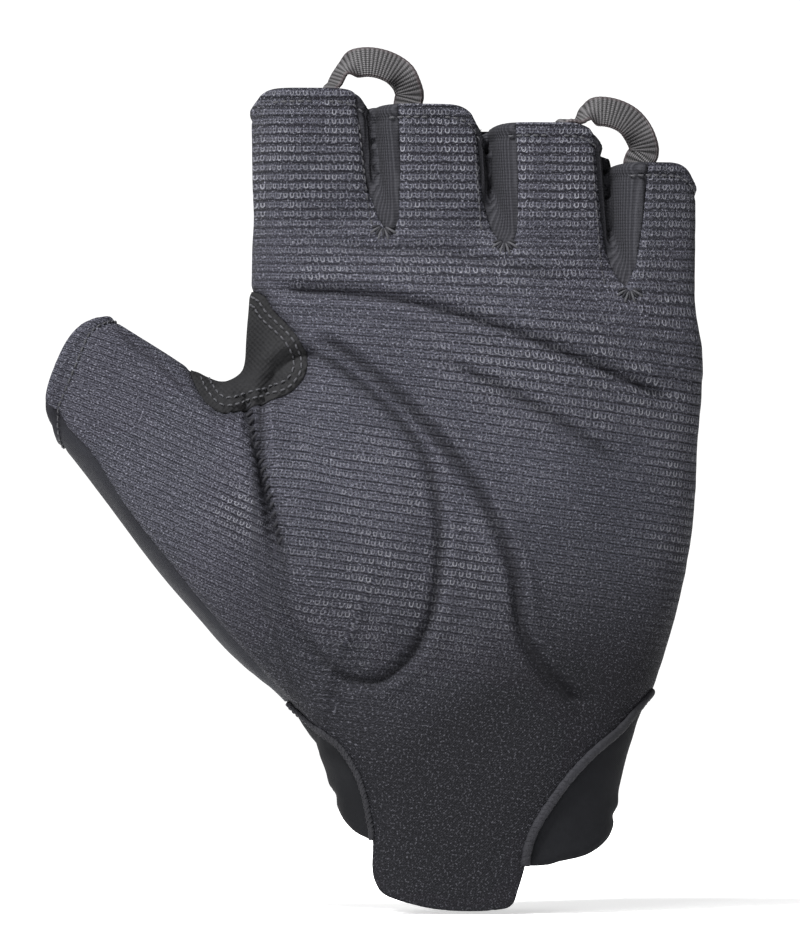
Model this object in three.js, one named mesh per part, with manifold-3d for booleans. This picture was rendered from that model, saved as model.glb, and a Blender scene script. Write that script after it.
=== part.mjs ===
// A fingerless cycling glove for a left hand, standing as worn with the fingers up.
// The origin is the middle of the wrist opening. The palm faces -Y, the thumb points to -X
// and the fingers to +Z. Lengths are millimetres and angles are degrees.

import * as THREE from 'three';
import { mergeVertices } from 'three/addons/utils/BufferGeometryUtils.js';
import Module from 'manifold-3d';

const wasm = await Module();
wasm.setup();

// Hand sizes
const wristWidth = 57.5;
const wristDepth = 38;
const palmLength = 124;
const knuckleDepth = 27;
const fingerGap = 1.4;
const palmEase = 2.2;
const thumbLength = 59.7;
const thumbRootWidth = 36;
const thumbMouthWidth = 25;
const thumbRootDepth = 35;
const thumbMouthDepth = 22;
const thumbAngle = 40;
const thumbForward = 5;
const palmYaw = 5;

// Cloth sizes
const clothWall = 1.4;
const seamGap = 0.3;
const padRise = 0.9;
const grooveDepth = 0.5;
const grooveWidth = 2.4;
const pleatWidth = 1.3;
const bindingWidth = 2;
const bindingRise = 0.7;
const cuffHeight = 31.5;
const tongueDrop = 12;
const webbingWidth = 6.6;
const webbingThickness = 1.1;
const webbingRise = 8.2;
const webbingLean = 30;
const footDepth = 5;
const footClearance = 0.75;
const roomReach = 20;
const frontReach = 12;

// Fingers from the index to the little finger. width and depth are those of the tube, length is
// from the finger roots to the rim, yaw turns the tube about Z, and back moves it away from the palm.
// lean is how far the root lies from the rim along X, fall is the drop of the rim to the right, and
// root is the width at the root as a share of the width.
const fingers = [
  { width: 22.2, depth: 20, length: 31.8, yaw: 14, back: -3, lean: 1, fall: 0.4, root: 1.06 },
  { width: 22, depth: 20, length: 28.6, yaw: 18, back: -1, lean: 3.6, fall: 1, root: 1 },
  { width: 22.2, depth: 19.5, length: 24.8, yaw: 19, back: 1.5, lean: 4, fall: -0.6, root: 1.02 },
  { width: 17.6, depth: 17.5, length: 16.8, yaw: 27, back: 5, lean: 1, fall: 0.4, root: 0.9 },
];

// A finger's tube where it starts inside the palm, as shares of the palm's length and of its own
// depth, place behind the palm and yaw at the rim
const tubeRoot = { height: 0.8, depth: 0.85, back: 0.3, yaw: 0.6 };

// How many points a ring has, and how square it is
const palmSides = 32;
const fingerSides = 22;
const roundness = 2.5;
const fingerRoundness = 3.2;

// Colours and finishes
const knit = { color: 0x545660, roughness: 0.85, metalness: 0 };
const smoothCloth = { color: 0x2b2c31, roughness: 0.7, metalness: 0 };
const suede = { color: 0x3a3a3d, roughness: 0.95, metalness: 0 };
const ribbedKnit = { color: 0x47494e, roughness: 0.85, metalness: 0 };
const thread = { color: 0x303136, roughness: 0.75, metalness: 0 };
const webbing = { color: 0x5f5d5f, roughness: 0.7, metalness: 0 };

// The fingers stand side by side, and the palm is wider than all of them by its ease.
const palmWidth = placeFingers() + palmEase;

// Where the fingers' tubes start inside the palm
const tubeStart = tubeRoot.height * palmLength;

// Palm rings from the wrist to the finger roots. height is a share of the palm's length, spread goes
// from the wrist's width and depth, 0, to the knuckles', 1, and front and back are shares of the depth
// there. shift is a share of the palm's width, and fall, of the same, drops the right edge.
const palmRings = [
  { height: -0.14, spread: -0.02, shift: 0, front: 0.5, back: 0.5, fall: 0 },
  { height: 0, spread: 0, shift: 0.003, front: 0.5, back: 0.5, fall: 0 },
  { height: 0.1, spread: 0.065, shift: 0.002, front: 0.5, back: 0.5, fall: 0 },
  { height: 0.2, spread: 0.293, shift: -0.005, front: 0.51, back: 0.51, fall: 0 },
  { height: 0.29, spread: 0.53, shift: -0.005, front: 0.54, back: 0.53, fall: 0 },
  { height: 0.41, spread: 0.797, shift: -0.012, front: 0.57, back: 0.56, fall: 0.01 },
  { height: 0.53, spread: 0.949, shift: -0.01, front: 0.56, back: 0.57, fall: 0.02 },
  { height: 0.68, spread: 0.983, shift: -0.005, front: 0.54, back: 0.56, fall: 0.04 },
  { height: 0.78, spread: 1, shift: 0.002, front: 0.52, back: 0.53, fall: 0.08 },
  { height: 0.88, spread: 0.963, shift: 0.004, front: 0.5, back: 0.5, fall: 0.14 },
  { height: 0.975, spread: 0.89, shift: 0.003, front: 0.375, back: 0.375, fall: 0.22 },
];

// Thumb rings from inside the palm to the thumb's mouth. along is a share of the thumb's length, and
// widen goes from its root width, 0, to its mouth's, 1. upper and lower are shares of that width, to
// the two edges, lead sends the upper edge ahead of the lower one, and bulge is a share of the depth.
const thumbRings = [
  { along: -0.25, widen: 0, upper: 0.55, lower: -0.5, lead: 0.19, bulge: 0.78 },
  { along: 0.059, widen: 0, upper: 0.647, lower: -0.533, lead: 0.262, bulge: 0.95 },
  { along: 0.291, widen: 0, upper: 0.74, lower: -0.489, lead: 0.244, bulge: 1.08 },
  { along: 0.524, widen: 0, upper: 0.597, lower: -0.403, lead: 0.161, bulge: 1.04 },
  { along: 0.766, widen: 0.5, upper: 0.636, lower: -0.348, lead: 0.154, bulge: 1 },
  { along: 1, widen: 1, upper: 0.695, lower: -0.31, lead: 0.16, bulge: 1 },
];

// Where the thumb starts inside the palm, as shares of the palm's width, the wrist's depth and the
// palm's length
const thumbRoot = { x: -0.42, y: -0.079, z: 0.45 };

// Outlines and lines as the palm shows them. x is a share of the palm's width and z of its length.
const patchEdge = [
  { x: -0.64, z: 0.93 }, { x: -0.485, z: 0.925 }, { x: -0.44, z: 0.885 }, { x: -0.385, z: 0.843 },
  { x: -0.368, z: 0.795 }, { x: -0.4, z: 0.757 }, { x: -0.474, z: 0.739 }, { x: -0.56, z: 0.727 },
  { x: -0.62, z: 0.79 },
];
const thenarPad = [
  { x: -0.353, z: 0.818 }, { x: -0.258, z: 0.774 }, { x: -0.163, z: 0.706 }, { x: -0.099, z: 0.63 },
  { x: -0.072, z: 0.529 }, { x: -0.082, z: 0.4 }, { x: -0.132, z: 0.312 }, { x: -0.21, z: 0.296 },
  { x: -0.3, z: 0.33 }, { x: -0.37, z: 0.43 }, { x: -0.41, z: 0.54 }, { x: -0.43, z: 0.63 },
  { x: -0.44, z: 0.71 }, { x: -0.4, z: 0.775 },
];
const outerPad = [
  { x: -0.27, z: 0.835 }, { x: -0.15, z: 0.753 }, { x: -0.034, z: 0.66 }, { x: 0.045, z: 0.574 },
  { x: 0.104, z: 0.47 }, { x: 0.126, z: 0.367 }, { x: 0.18, z: 0.3 }, { x: 0.27, z: 0.25 },
  { x: 0.38, z: 0.36 }, { x: 0.43, z: 0.52 }, { x: 0.42, z: 0.64 }, { x: 0.3, z: 0.7 },
  { x: 0.1, z: 0.77 }, { x: -0.1, z: 0.84 },
];
const dart = [
  { x: -0.497, z: 0.748 }, { x: -0.472, z: 0.653 }, { x: -0.45, z: 0.58 }, { x: -0.421, z: 0.5 },
];
// The long groove, the head fold, the heart fold and the fold at the finger roots
const folds = [
  [
    { x: -0.368, z: 0.845 }, { x: -0.172, z: 0.754 }, { x: -0.053, z: 0.66 },
    { x: 0.026, z: 0.574 }, { x: 0.086, z: 0.47 }, { x: 0.106, z: 0.367 }, { x: 0.161, z: 0.293 },
    { x: 0.251, z: 0.235 },
  ],
  [
    { x: -0.44, z: 0.926 }, { x: -0.183, z: 0.911 }, { x: 0.066, z: 0.861 },
    { x: 0.326, z: 0.782 },
  ],
  [
    { x: -0.097, z: 0.813 }, { x: 0.148, z: 0.727 }, { x: 0.35, z: 0.623 },
  ],
  [
    { x: -0.35, z: 1.0 }, { x: -0.183, z: 0.99 }, { x: -0.013, z: 0.975 }, { x: 0.2, z: 0.93 },
  ],
];
const rightBinding = [
  { x: 0.44, z: 0.29 }, { x: 0.392, z: 0.265 }, { x: 0.317, z: 0.2 }, { x: 0.212, z: 0.126 },
  { x: 0.134, z: 0.043 }, { x: 0.09, z: -0.03 },
];
const leftBinding = [
  { x: -0.45, z: 0.262 }, { x: -0.41, z: 0.245 }, { x: -0.324, z: 0.19 }, { x: -0.269, z: 0.145 },
  { x: -0.234, z: 0.069 }, { x: -0.213, z: -0.01 },
];
const thumbStrip = [
  { x: -1.1, z: 0.82 }, { x: -0.93, z: 0.734 }, { x: -0.84, z: 0.653 }, { x: -0.756, z: 0.555 },
  { x: -0.633, z: 0.44 }, { x: -0.536, z: 0.352 }, { x: -0.439, z: 0.269 }, { x: -0.36, z: 0.2 },
];
const thumbBackSeam = [
  { x: -0.6, z: 0.8 }, { x: -0.5, z: 0.72 }, { x: -0.42, z: 0.6 }, { x: -0.37, z: 0.48 },
  { x: -0.35, z: 0.36 }, { x: -0.36, z: 0.2 },
];
// The tongue's outline below the wrist, with z as a share of the tongue's drop
const tongueEdge = [
  { x: 0.108, z: 0 }, { x: 0.096, z: -0.6 }, { x: 0.075, z: -0.9 }, { x: -0.01, z: -1 },
  { x: -0.11, z: -0.93 }, { x: -0.19, z: -0.75 }, { x: -0.213, z: -0.4 }, { x: -0.222, z: 0 },
];
const cuffHem = [
  { x: -0.4, z: 0.11 }, { x: -0.31, z: 0.072 }, { x: -0.284, z: 0.043 }, { x: -0.238, z: 0.021 },
  { x: -0.1, z: -0.012 }, { x: 0.123, z: -0.021 }, { x: 0.256, z: -0.003 }, { x: 0.3, z: 0.02 },
  { x: 0.313, z: 0.043 }, { x: 0.4, z: 0.08 },
];

// Pull loops of ribbed webbing, from a finger to its right neighbour. feet are the places of their two
// ends, as shares of the finger's width from its middle. In an arch's rows across is a share of the way
// from foot to foot, and rise is a share of the webbing's rise over the line between the two rims.
const loops = [
  { name: 'pull_loop_index_middle', from: 0, feet: [0.26, -0.02], arch: [
    { across: 0, rise: 0.27 }, { across: 0.15, rise: 0.77 }, { across: 0.39, rise: 0.95 },
    { across: 0.65, rise: 0.99 }, { across: 0.89, rise: 0.83 }, { across: 1, rise: 0.42 }] },
  { name: 'pull_loop_ring_little', from: 2, feet: [0.2, 0.16], arch: [
    { across: 0, rise: 0.45 }, { across: 0.2, rise: 0.84 }, { across: 0.54, rise: 0.98 },
    { across: 0.78, rise: 0.89 }, { across: 0.95, rise: 0.66 }, { across: 1, rise: 0.34 }] },
];

// How many steps a line has
const webbingSteps = 22;
const outlineSteps = 24;
const seamSteps = 16;
const dartSteps = 8;
const foldSteps = 7;

// A gather at the dart starts and ends these shares of its width from the seam, and a fold's ends
// keep this share of its width.
const pleat = { start: 0.2, end: 3.2 };
const foldEnd = 0.12;

// A loop's webbing turns from its foot's way to the arch's between these shares from its middle.
const archTurn = { start: 0.1, end: 0.24 };

// The seam between palm and back seen from above. x is a share of the palm's width, y of the wrist's depth.
const sideSeam = [
  { x: -1, y: -0.224 }, { x: -0.6, y: -0.158 }, { x: -0.47, y: 0.013 }, { x: 0.1, y: 0.079 },
  { x: 0.4, y: 0.184 }, { x: 0.6, y: 0.237 },
];

// The slot between two fingers: millimetres above its bottom, and how far the seams lie inside the sides
const slotLevels = [
  { above: -2.2, inset: 0.35 }, { above: -0.5, inset: 0.9 }, { above: 9, inset: 2 },
];
const slotTop = { above: 10, inset: 2.4 };

function radians(degrees) {
  return THREE.MathUtils.degToRad(degrees);
}

function mix(a, b, share) {
  return a + (b - a) * share;
}

// How far a turned finger reaches to either side
function halfSpan({ width, depth, yaw }) {
  const power = fingerRoundness / (fingerRoundness - 1);
  const across = (width / 2) * Math.cos(radians(yaw));
  const deep = (depth / 2) * Math.sin(radians(yaw));
  return (across ** power + deep ** power) ** (1 / power);
}

// Stands each finger at the finger gap from its left neighbour, centres them all, gives each the
// height of its rim, and says how wide they are together.
function placeFingers() {
  fingers[0].x = 0;
  for (let i = 1; i < fingers.length; i += 1) {
    const [left, right] = [fingers[i - 1], fingers[i]];
    const yaw = radians((left.yaw + right.yaw) / 2);
    const apart = (left.width + right.width) / 2 + fingerGap;
    right.x = left.x + (apart - (right.back - left.back) * Math.sin(yaw)) / Math.cos(yaw);
  }
  const low = fingers[0].x - halfSpan(fingers[0]);
  const high = fingers.at(-1).x + halfSpan(fingers.at(-1));
  for (const finger of fingers) {
    finger.x -= (low + high) / 2;
    finger.rim = palmLength + finger.length;
  }
  return high - low;
}

// A tube's ring: width lies along u and depth along v, both square to each other.
function ringAxes(ring) {
  const yaw = radians(ring.yaw ?? 0);
  const slope = radians(ring.slope ?? 0);
  const level = new THREE.Vector2(Math.cos(slope), Math.sin(slope)).multiplyScalar(Math.cos(yaw));
  const u = new THREE.Vector3(level.x, Math.sin(yaw), level.y).normalize();
  const v = new THREE.Vector3(0, 1, 0);
  v.addScaledVector(u, -u.y).normalize();
  return { u, v };
}

function ringPoints(ring, grow, sides, power = roundness) {
  const { u, v } = ringAxes(ring);
  const middle = new THREE.Vector3(ring.x, ring.y, ring.z);
  const points = [];
  for (let i = 0; i < sides; i += 1) {
    const angle = ((i + 0.5) / sides) * 2 * Math.PI;
    const cos = Math.cos(angle);
    const sin = Math.sin(angle);
    const depth = (sin < 0 ? ring.front : ring.back) + grow;
    const along = Math.sign(cos) * Math.abs(cos) ** (2 / power) * (ring.width / 2 + grow);
    const out = Math.sign(sin) * Math.abs(sin) ** (2 / power) * depth;
    points.push(middle.clone().addScaledVector(u, along).addScaledVector(v, out));
  }
  return points;
}

// A closed solid from rings of equal point counts, with a fan on each end.
function skin(rings) {
  const sides = rings[0].length;
  const positions = rings.flat().flatMap((p) => [p.x, p.y, p.z]);
  const index = [];
  for (let r = 0; r + 1 < rings.length; r += 1) {
    for (let i = 0; i < sides; i += 1) {
      const a = r * sides + i;
      const b = r * sides + ((i + 1) % sides);
      index.push(a, b, b + sides, a, b + sides, a + sides);
    }
  }
  for (const [row, flip] of [[0, true], [rings.length - 1, false]]) {
    const middle = new THREE.Vector3();
    rings[row].forEach((p) => middle.addScaledVector(p, 1 / sides));
    const centre = positions.length / 3;
    positions.push(middle.x, middle.y, middle.z);
    for (let i = 0; i < sides; i += 1) {
      const a = row * sides + i;
      const b = row * sides + ((i + 1) % sides);
      index.push(...(flip ? [b, a, centre] : [a, b, centre]));
    }
  }
  const geometry = new THREE.BufferGeometry();
  geometry.setAttribute('position', new THREE.Float32BufferAttribute(positions, 3));
  geometry.setIndex(index);
  return solid(geometry);
}

function solid(geometry) {
  const plain = geometry.clone();
  plain.deleteAttribute('normal');
  plain.deleteAttribute('uv');
  const merged = mergeVertices(plain, 1e-5);
  const body = new wasm.Manifold(new wasm.Mesh({
    numProp: 3,
    vertProperties: Float32Array.from(merged.attributes.position.array),
    triVerts: Uint32Array.from(merged.index.array),
  }));
  return body.volume() < 0 ? turnedOut(merged) : body;
}

function turnedOut(geometry) {
  const triVerts = Uint32Array.from(geometry.index.array);
  for (let i = 0; i < triVerts.length; i += 3) {
    [triVerts[i + 1], triVerts[i + 2]] = [triVerts[i + 2], triVerts[i + 1]];
  }
  return new wasm.Manifold(new wasm.Mesh({
    numProp: 3,
    vertProperties: Float32Array.from(geometry.attributes.position.array),
    triVerts,
  }));
}

function joined(list) {
  return list.reduce((sum, item) => sum.add(item));
}

// The tubes of the hand, grown or, as the room inside, shrunk. ends is how far the open ends go on.
function palmTube(grow, ends) {
  const rings = palmRings.map((row, i) => {
    const last = i === palmRings.length - 1;
    const depth = mix(wristDepth, knuckleDepth, row.spread);
    const width = mix(wristWidth, palmWidth, row.spread);
    return {
      x: row.shift * palmWidth,
      y: 0,
      z: row.height * palmLength + (last ? grow : 0) - (i === 0 ? ends : 0),
      width,
      front: row.front * depth,
      back: row.back * depth,
      yaw: palmYaw * Math.max(row.spread, 0),
      slope: -THREE.MathUtils.radToDeg(Math.asin((row.fall * palmWidth) / width)),
    };
  });
  return skin(rings.map((ring) => ringPoints(ring, grow, palmSides)));
}

function fingerRing(finger, share) {
  const depth = finger.depth * mix(tubeRoot.depth, 1, share);
  return {
    x: finger.x + finger.lean * (1 - share),
    y: finger.back * mix(tubeRoot.back, 1, share),
    z: mix(tubeStart, finger.rim, share),
    width: finger.width * mix(finger.root, 1, share),
    front: depth / 2,
    back: depth / 2,
    yaw: finger.yaw * mix(tubeRoot.yaw, 1, share),
    slope: -THREE.MathUtils.radToDeg(Math.asin(finger.fall / finger.width)) * share,
  };
}

function fingerTube(finger, grow, ends) {
  const rings = [0, 0.5, 1].map((share) => fingerRing(finger, share));
  if (ends > 0) rings.push({ ...rings.at(-1), z: finger.rim + ends });
  return skin(rings.map((ring) => ringPoints(ring, grow, fingerSides, fingerRoundness)));
}

function thumbTube(grow, ends) {
  const angle = radians(thumbAngle);
  const ahead = new THREE.Vector3(-Math.cos(angle), 0, Math.sin(angle));
  const upward = new THREE.Vector3(Math.sin(angle), 0, Math.cos(angle));
  const sizes = new THREE.Vector3(palmWidth, wristDepth, palmLength);
  const root = new THREE.Vector3(thumbRoot.x, thumbRoot.y, thumbRoot.z).multiply(sizes);
  const rings = thumbRings.map((row) => {
    const across = mix(thumbRootWidth, thumbMouthWidth, row.widen);
    const depth = mix(thumbRootDepth, thumbMouthDepth, Math.max(row.along, 0)) * row.bulge;
    const edge = (share, lead) => root.clone()
      .addScaledVector(ahead, row.along * thumbLength + lead * across)
      .addScaledVector(upward, share * across);
    const upper = edge(row.upper, row.lead);
    const lower = edge(row.lower, -row.lead);
    const middle = upper.clone().add(lower).multiplyScalar(0.5);
    return {
      x: middle.x,
      y: middle.y - thumbForward * row.along,
      z: middle.z,
      width: upper.distanceTo(lower),
      front: depth / 2,
      back: depth / 2,
      slope: THREE.MathUtils.radToDeg(Math.atan2(upper.z - lower.z, upper.x - lower.x)),
    };
  });
  if (ends > 0) {
    const mouth = rings.at(-1);
    rings.push({ ...mouth, x: mouth.x + ends * ahead.x, z: mouth.z + ends * ahead.z });
  }
  return skin(rings.map((ring) => ringPoints(ring, grow, fingerSides + 2)));
}

function hand(grow, ends) {
  return joined([
    palmTube(grow, ends),
    thumbTube(grow, ends),
    ...fingers.map((finger) => fingerTube(finger, grow, ends)),
  ]);
}

// Outlines on the palm, and the blocks that reach through the glove from them.
function place({ x, z }) {
  return new THREE.Vector2(x * palmWidth, z * palmLength);
}

function smoothOutline(points, steps) {
  const corners = points.map((p) => new THREE.Vector3(p.x * palmWidth, p.z * palmLength, 0));
  return new THREE.CatmullRomCurve3(corners, true, 'centripetal').getPoints(steps).slice(0, -1)
    .map((p) => new THREE.Vector2(p.x, p.y));
}

function block(outline, fromY, toY) {
  const geometry = new THREE.ExtrudeGeometry(new THREE.Shape(outline), {
    depth: toY - fromY,
    bevelEnabled: false,
  });
  geometry.rotateX(Math.PI / 2);
  geometry.translate(0, toY, 0);
  return solid(geometry);
}

// A band along a line on the palm, whose width follows widthAt(share of the line).
function band(line, steps, widthAt) {
  const curve = new THREE.SplineCurve(line);
  const near = [];
  const far = [];
  for (let i = 0; i <= steps; i += 1) {
    const share = i / steps;
    const point = curve.getPointAt(share);
    const along = curve.getTangentAt(share);
    const half = widthAt(share) / 2;
    near.push(new THREE.Vector2(point.x - along.y * half, point.y + along.x * half));
    far.push(new THREE.Vector2(point.x + along.y * half, point.y - along.x * half));
  }
  return near.concat(far.reverse());
}

const reach = 2 * palmWidth;
const fullDepth = wristDepth + thumbRootDepth;
const lens = (width) => (share) => width * mix(foldEnd, 1, Math.sin(Math.PI * share));

// The half in front of the side seams
function frontHalf(move) {
  const edge = sideSeam.map(({ x, y }) => new THREE.Vector2(x * palmWidth, y * wristDepth + move));
  edge.push(new THREE.Vector2(reach, edge.at(-1).y));
  edge.push(new THREE.Vector2(reach, -fullDepth));
  edge.push(new THREE.Vector2(-reach, -fullDepth));
  edge.push(new THREE.Vector2(-reach, edge[0].y));
  const geometry = new THREE.ExtrudeGeometry(new THREE.Shape(edge), {
    depth: 3 * palmLength,
    bevelEnabled: false,
  });
  geometry.translate(0, 0, -palmLength);
  return solid(geometry);
}

// The slot between two fingers, with the side walls that a fourchette covers on both.
function slot(left, right, grow) {
  const between = (left.x + left.lean + left.width / 2 + right.x + right.lean - right.width / 2) / 2;
  const crotch = fingerRootHeight(between);
  const levels = slotLevels.map(({ above, inset }) => ({ z: crotch + above, inset }));
  levels.push({ z: Math.max(left.rim, right.rim) + slotTop.above, inset: slotTop.inset });
  const rings = levels.map(({ z, inset }, i) => {
    const corners = [];
    const low = i === 0 ? -grow : 0;
    for (const [finger, side] of [[left, 1], [right, -1]]) {
      const ring = fingerRing(finger, (z - tubeStart) / (finger.rim - tubeStart));
      const { u, v } = ringAxes({ yaw: ring.yaw });
      const seam = new THREE.Vector3(ring.x, ring.y, z + low);
      seam.addScaledVector(u, side * (ring.width / 2 - inset - grow));
      const front = seam.clone().addScaledVector(v, -1.5 * finger.depth);
      const back = seam.clone().addScaledVector(v, 1.5 * finger.depth);
      corners.push(...(side > 0 ? [back, front] : [front, back]));
    }
    return corners;
  });
  return skin(rings);
}

// The height of the finger roots at a place across the palm
function fingerRootHeight(x) {
  const top = palmRings.at(-1);
  const width = mix(wristWidth, palmWidth, top.spread);
  return top.height * palmLength - ((x - top.shift * palmWidth) * top.fall * palmWidth) / width;
}

function named(name, body, look) {
  const { vertProperties, triVerts, numProp } = body.getMesh();
  const geometry = new THREE.BufferGeometry();
  const positions = [];
  for (let i = 0; i < vertProperties.length; i += numProp) {
    positions.push(vertProperties[i], vertProperties[i + 1], vertProperties[i + 2]);
  }
  geometry.setAttribute('position', new THREE.Float32BufferAttribute(positions, 3));
  geometry.setIndex(Array.from(triVerts));
  const mesh = new THREE.Mesh(geometry, new THREE.MeshStandardMaterial(look));
  mesh.name = name;
  return mesh;
}

// The glove's cloth: the hand's form less the room inside
const form = hand(0, 0);
const room = hand(-clothWall, roomReach);
const cloth = form.subtract(room);
const front = frontHalf(-seamGap / 2);
const backOf = frontHalf(seamGap / 2);

// Raised pads and sunken folds of the palm
const raised = hand(padRise, 0).subtract(room);
const sunken = hand(-grooveDepth, 0);
const padOutlines = [thenarPad, outerPad].map((edge) => smoothOutline(edge, outlineSteps));
const padBlocks = joined(padOutlines.map((outline) => block(outline, -fullDepth, 0)));
const foldBands = folds.map((line) => band(line.map(place), foldSteps, lens(grooveWidth)));
const foldBlocks = foldBands.map((outline) => block(outline, -fullDepth, 0));
const dartLine = dart.map(place);
const dartBlock = block(band(dartLine, dartSteps, () => seamGap), -fullDepth, 0);

// Gathers that cross the dart's seam
function pleats() {
  const curve = new THREE.SplineCurve(dartLine);
  const count = Math.floor(curve.getLength() / (2 * pleatWidth));
  const blocks = [];
  for (let i = 1; i < count; i += 1) {
    const middle = curve.getPointAt(i / count);
    const along = curve.getTangentAt(i / count);
    const across = new THREE.Vector2(along.y, -along.x);
    const side = i % 2 === 0 ? 1 : -1;
    const tip = middle.clone().addScaledVector(across, side * pleat.end * pleatWidth);
    const root = middle.clone().addScaledVector(across, side * pleat.start * pleatWidth);
    blocks.push(block([
      root.clone().addScaledVector(along, pleatWidth / 2),
      root.clone().addScaledVector(along, -pleatWidth / 2),
      tip,
    ], -fullDepth, 0));
  }
  return blocks;
}

// The inside of a finger's back cloth at a place across the finger, in the ring's own plane
function backWall(ring, across) {
  const half = ring.width / 2 - clothWall;
  const share = Math.min(Math.abs(across) / half, 0.97);
  return (ring.back - clothWall) * (1 - share ** fingerRoundness) ** (1 / fingerRoundness);
}

// Where a foot of the webbing lies against the inside of the back cloth: its middle and its width's way
function footSeat(finger, share) {
  const ring = fingerRing(finger, 1 - footDepth / (finger.rim - tubeStart));
  const { u, v } = ringAxes({ yaw: ring.yaw });
  const corner = (side) => {
    const across = share * finger.width + (side * webbingWidth) / 2;
    return new THREE.Vector3(ring.x, ring.y, finger.rim)
      .addScaledVector(u, across)
      .addScaledVector(v, backWall(ring, across) - footClearance);
  };
  const near = corner(-1);
  const far = corner(1);
  const way = far.clone().sub(near).normalize();
  const inward = new THREE.Vector3(way.y, -way.x, 0);
  const middle = near.add(far).multiplyScalar(0.5).addScaledVector(inward, webbingThickness / 2);
  return { middle, way };
}

// A strip of webbing that rises from one finger, bends over and goes down into the next
function pullLoop({ from, feet, arch }) {
  const seats = [footSeat(fingers[from], feet[0]), footSeat(fingers[from + 1], feet[1])];
  const [start, end] = seats.map((seat) => seat.middle);
  const route = [
    start.clone().add(new THREE.Vector3(0, 0, -footDepth)),
    start,
    ...arch.map(({ across, rise }) => new THREE.Vector3().lerpVectors(start, end, across)
      .add(new THREE.Vector3(0, 0, rise * webbingRise))),
    end,
    end.clone().add(new THREE.Vector3(0, 0, -footDepth)),
  ];
  const curve = new THREE.CatmullRomCurve3(route, false, 'centripetal');
  const rings = [];
  for (let i = 0; i <= webbingSteps; i += 1) {
    const share = i / webbingSteps;
    const along = curve.getTangentAt(share);
    const lean = radians(webbingLean) * Math.sin(Math.PI * share);
    const outward = new THREE.Vector3(-along.z, 0, along.x).normalize().multiplyScalar(Math.cos(lean));
    outward.y = Math.sin(lean);
    const seat = share < 0.5 ? seats[0].way.clone().negate() : seats[1].way;
    const held = THREE.MathUtils.smoothstep(Math.abs(share - 0.5), archTurn.start, archTurn.end);
    const across = outward.lerp(seat, held);
    across.addScaledVector(along, -across.dot(along)).normalize();
    const through = along.clone().cross(across);
    const middle = curve.getPointAt(share);
    rings.push([[1, 1], [-1, 1], [-1, -1], [1, -1]].map(([a, b]) => middle.clone()
      .addScaledVector(across, (a * webbingWidth) / 2)
      .addScaledVector(through, (b * webbingThickness) / 2)));
  }
  return skin(rings);
}

// Seam outlines
const rightLine = rightBinding.map(place);
const leftLine = leftBinding.map(place);
const tongue = tongueEdge.map(({ x, z }) => new THREE.Vector2(x * palmWidth, z * tongueDrop));
const palmOutline = [
  ...new THREE.SplineCurve(rightLine).getPoints(seamSteps).filter((p) => p.y > 0),
  ...new THREE.SplineCurve(tongue).getPoints(seamSteps),
  ...new THREE.SplineCurve(leftLine).getPoints(seamSteps).filter((p) => p.y > 0).reverse(),
  new THREE.Vector2(-reach, leftLine[0].y),
  new THREE.Vector2(-reach, 2 * palmLength),
  new THREE.Vector2(reach, 2 * palmLength),
  new THREE.Vector2(reach, rightLine[0].y),
];
const palmBlock = block(palmOutline, -fullDepth, frontReach);
const bindings = [
  { name: 'cuff_binding_left', line: leftLine },
  { name: 'cuff_binding_right', line: rightLine },
];
const bindingBlock = (line, width) => block(band(line, seamSteps, () => width), -fullDepth, frontReach);
const bindingBlocks = bindings.map(({ line }) => bindingBlock(line, bindingWidth));
const bindingRooms = bindings.map(({ line }) => bindingBlock(line, bindingWidth + 2 * seamGap));

const hemLine = new THREE.SplineCurve(cuffHem.map(place)).getPoints(outlineSteps);
const aboveHem = block([
  ...hemLine,
  new THREE.Vector2(reach, hemLine.at(-1).y),
  new THREE.Vector2(reach, 2 * palmLength),
  new THREE.Vector2(-reach, 2 * palmLength),
  new THREE.Vector2(-reach, hemLine[0].y),
], -fullDepth, fullDepth);
const belowCuffTop = (move) => block([
  new THREE.Vector2(-reach, cuffHeight + move),
  new THREE.Vector2(-reach, -palmLength),
  new THREE.Vector2(reach, -palmLength),
  new THREE.Vector2(reach, cuffHeight + move),
], -fullDepth, fullDepth);

const patchBlock = block(smoothOutline(patchEdge, outlineSteps), -fullDepth, fullDepth);
const grownPatch = (() => {
  const centre = new THREE.Vector2();
  const outline = smoothOutline(patchEdge, outlineSteps);
  outline.forEach((p) => centre.addScaledVector(p, 1 / outline.length));
  return block(outline.map((p) => {
    const away = p.clone().sub(centre);
    return centre.clone().addScaledVector(away, 1 + seamGap / away.length());
  }), -fullDepth, fullDepth);
})();

const slots = [0, 1, 2].map((i) => slot(fingers[i], fingers[i + 1], 0));
const slotRooms = joined([0, 1, 2].map((i) => slot(fingers[i], fingers[i + 1], seamGap)));

const stripLine = thumbStrip.map(place);
const stripBlock = (move) => block([...stripLine.map((p) => new THREE.Vector2(p.x + move, p.y + move)),
  new THREE.Vector2(-reach, -palmLength)], -fullDepth, fullDepth);
const backSeam = thumbBackSeam.map(place);
const thumbZone = (move) => block([...backSeam.map((p) => new THREE.Vector2(p.x + move, p.y)),
  new THREE.Vector2(-reach, backSeam.at(-1).y), new THREE.Vector2(-reach, 2 * palmLength),
  new THREE.Vector2(backSeam[0].x + move, 2 * palmLength)], -fullDepth, fullDepth);

// The palm with the fronts of the fingers and of the thumb, in one piece of knit
function palmPanel() {
  const pads = raised.intersect(padBlocks).intersect(front);
  const furrows = joined([...foldBlocks, ...pleats()]).subtract(sunken);
  return cloth.intersect(front).add(pads)
    .intersect(palmBlock)
    .subtract(furrows)
    .subtract(dartBlock)
    .subtract(joined(bindingRooms))
    .subtract(slotRooms)
    .subtract(grownPatch)
    .subtract(stripBlock(seamGap / 2));
}

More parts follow.
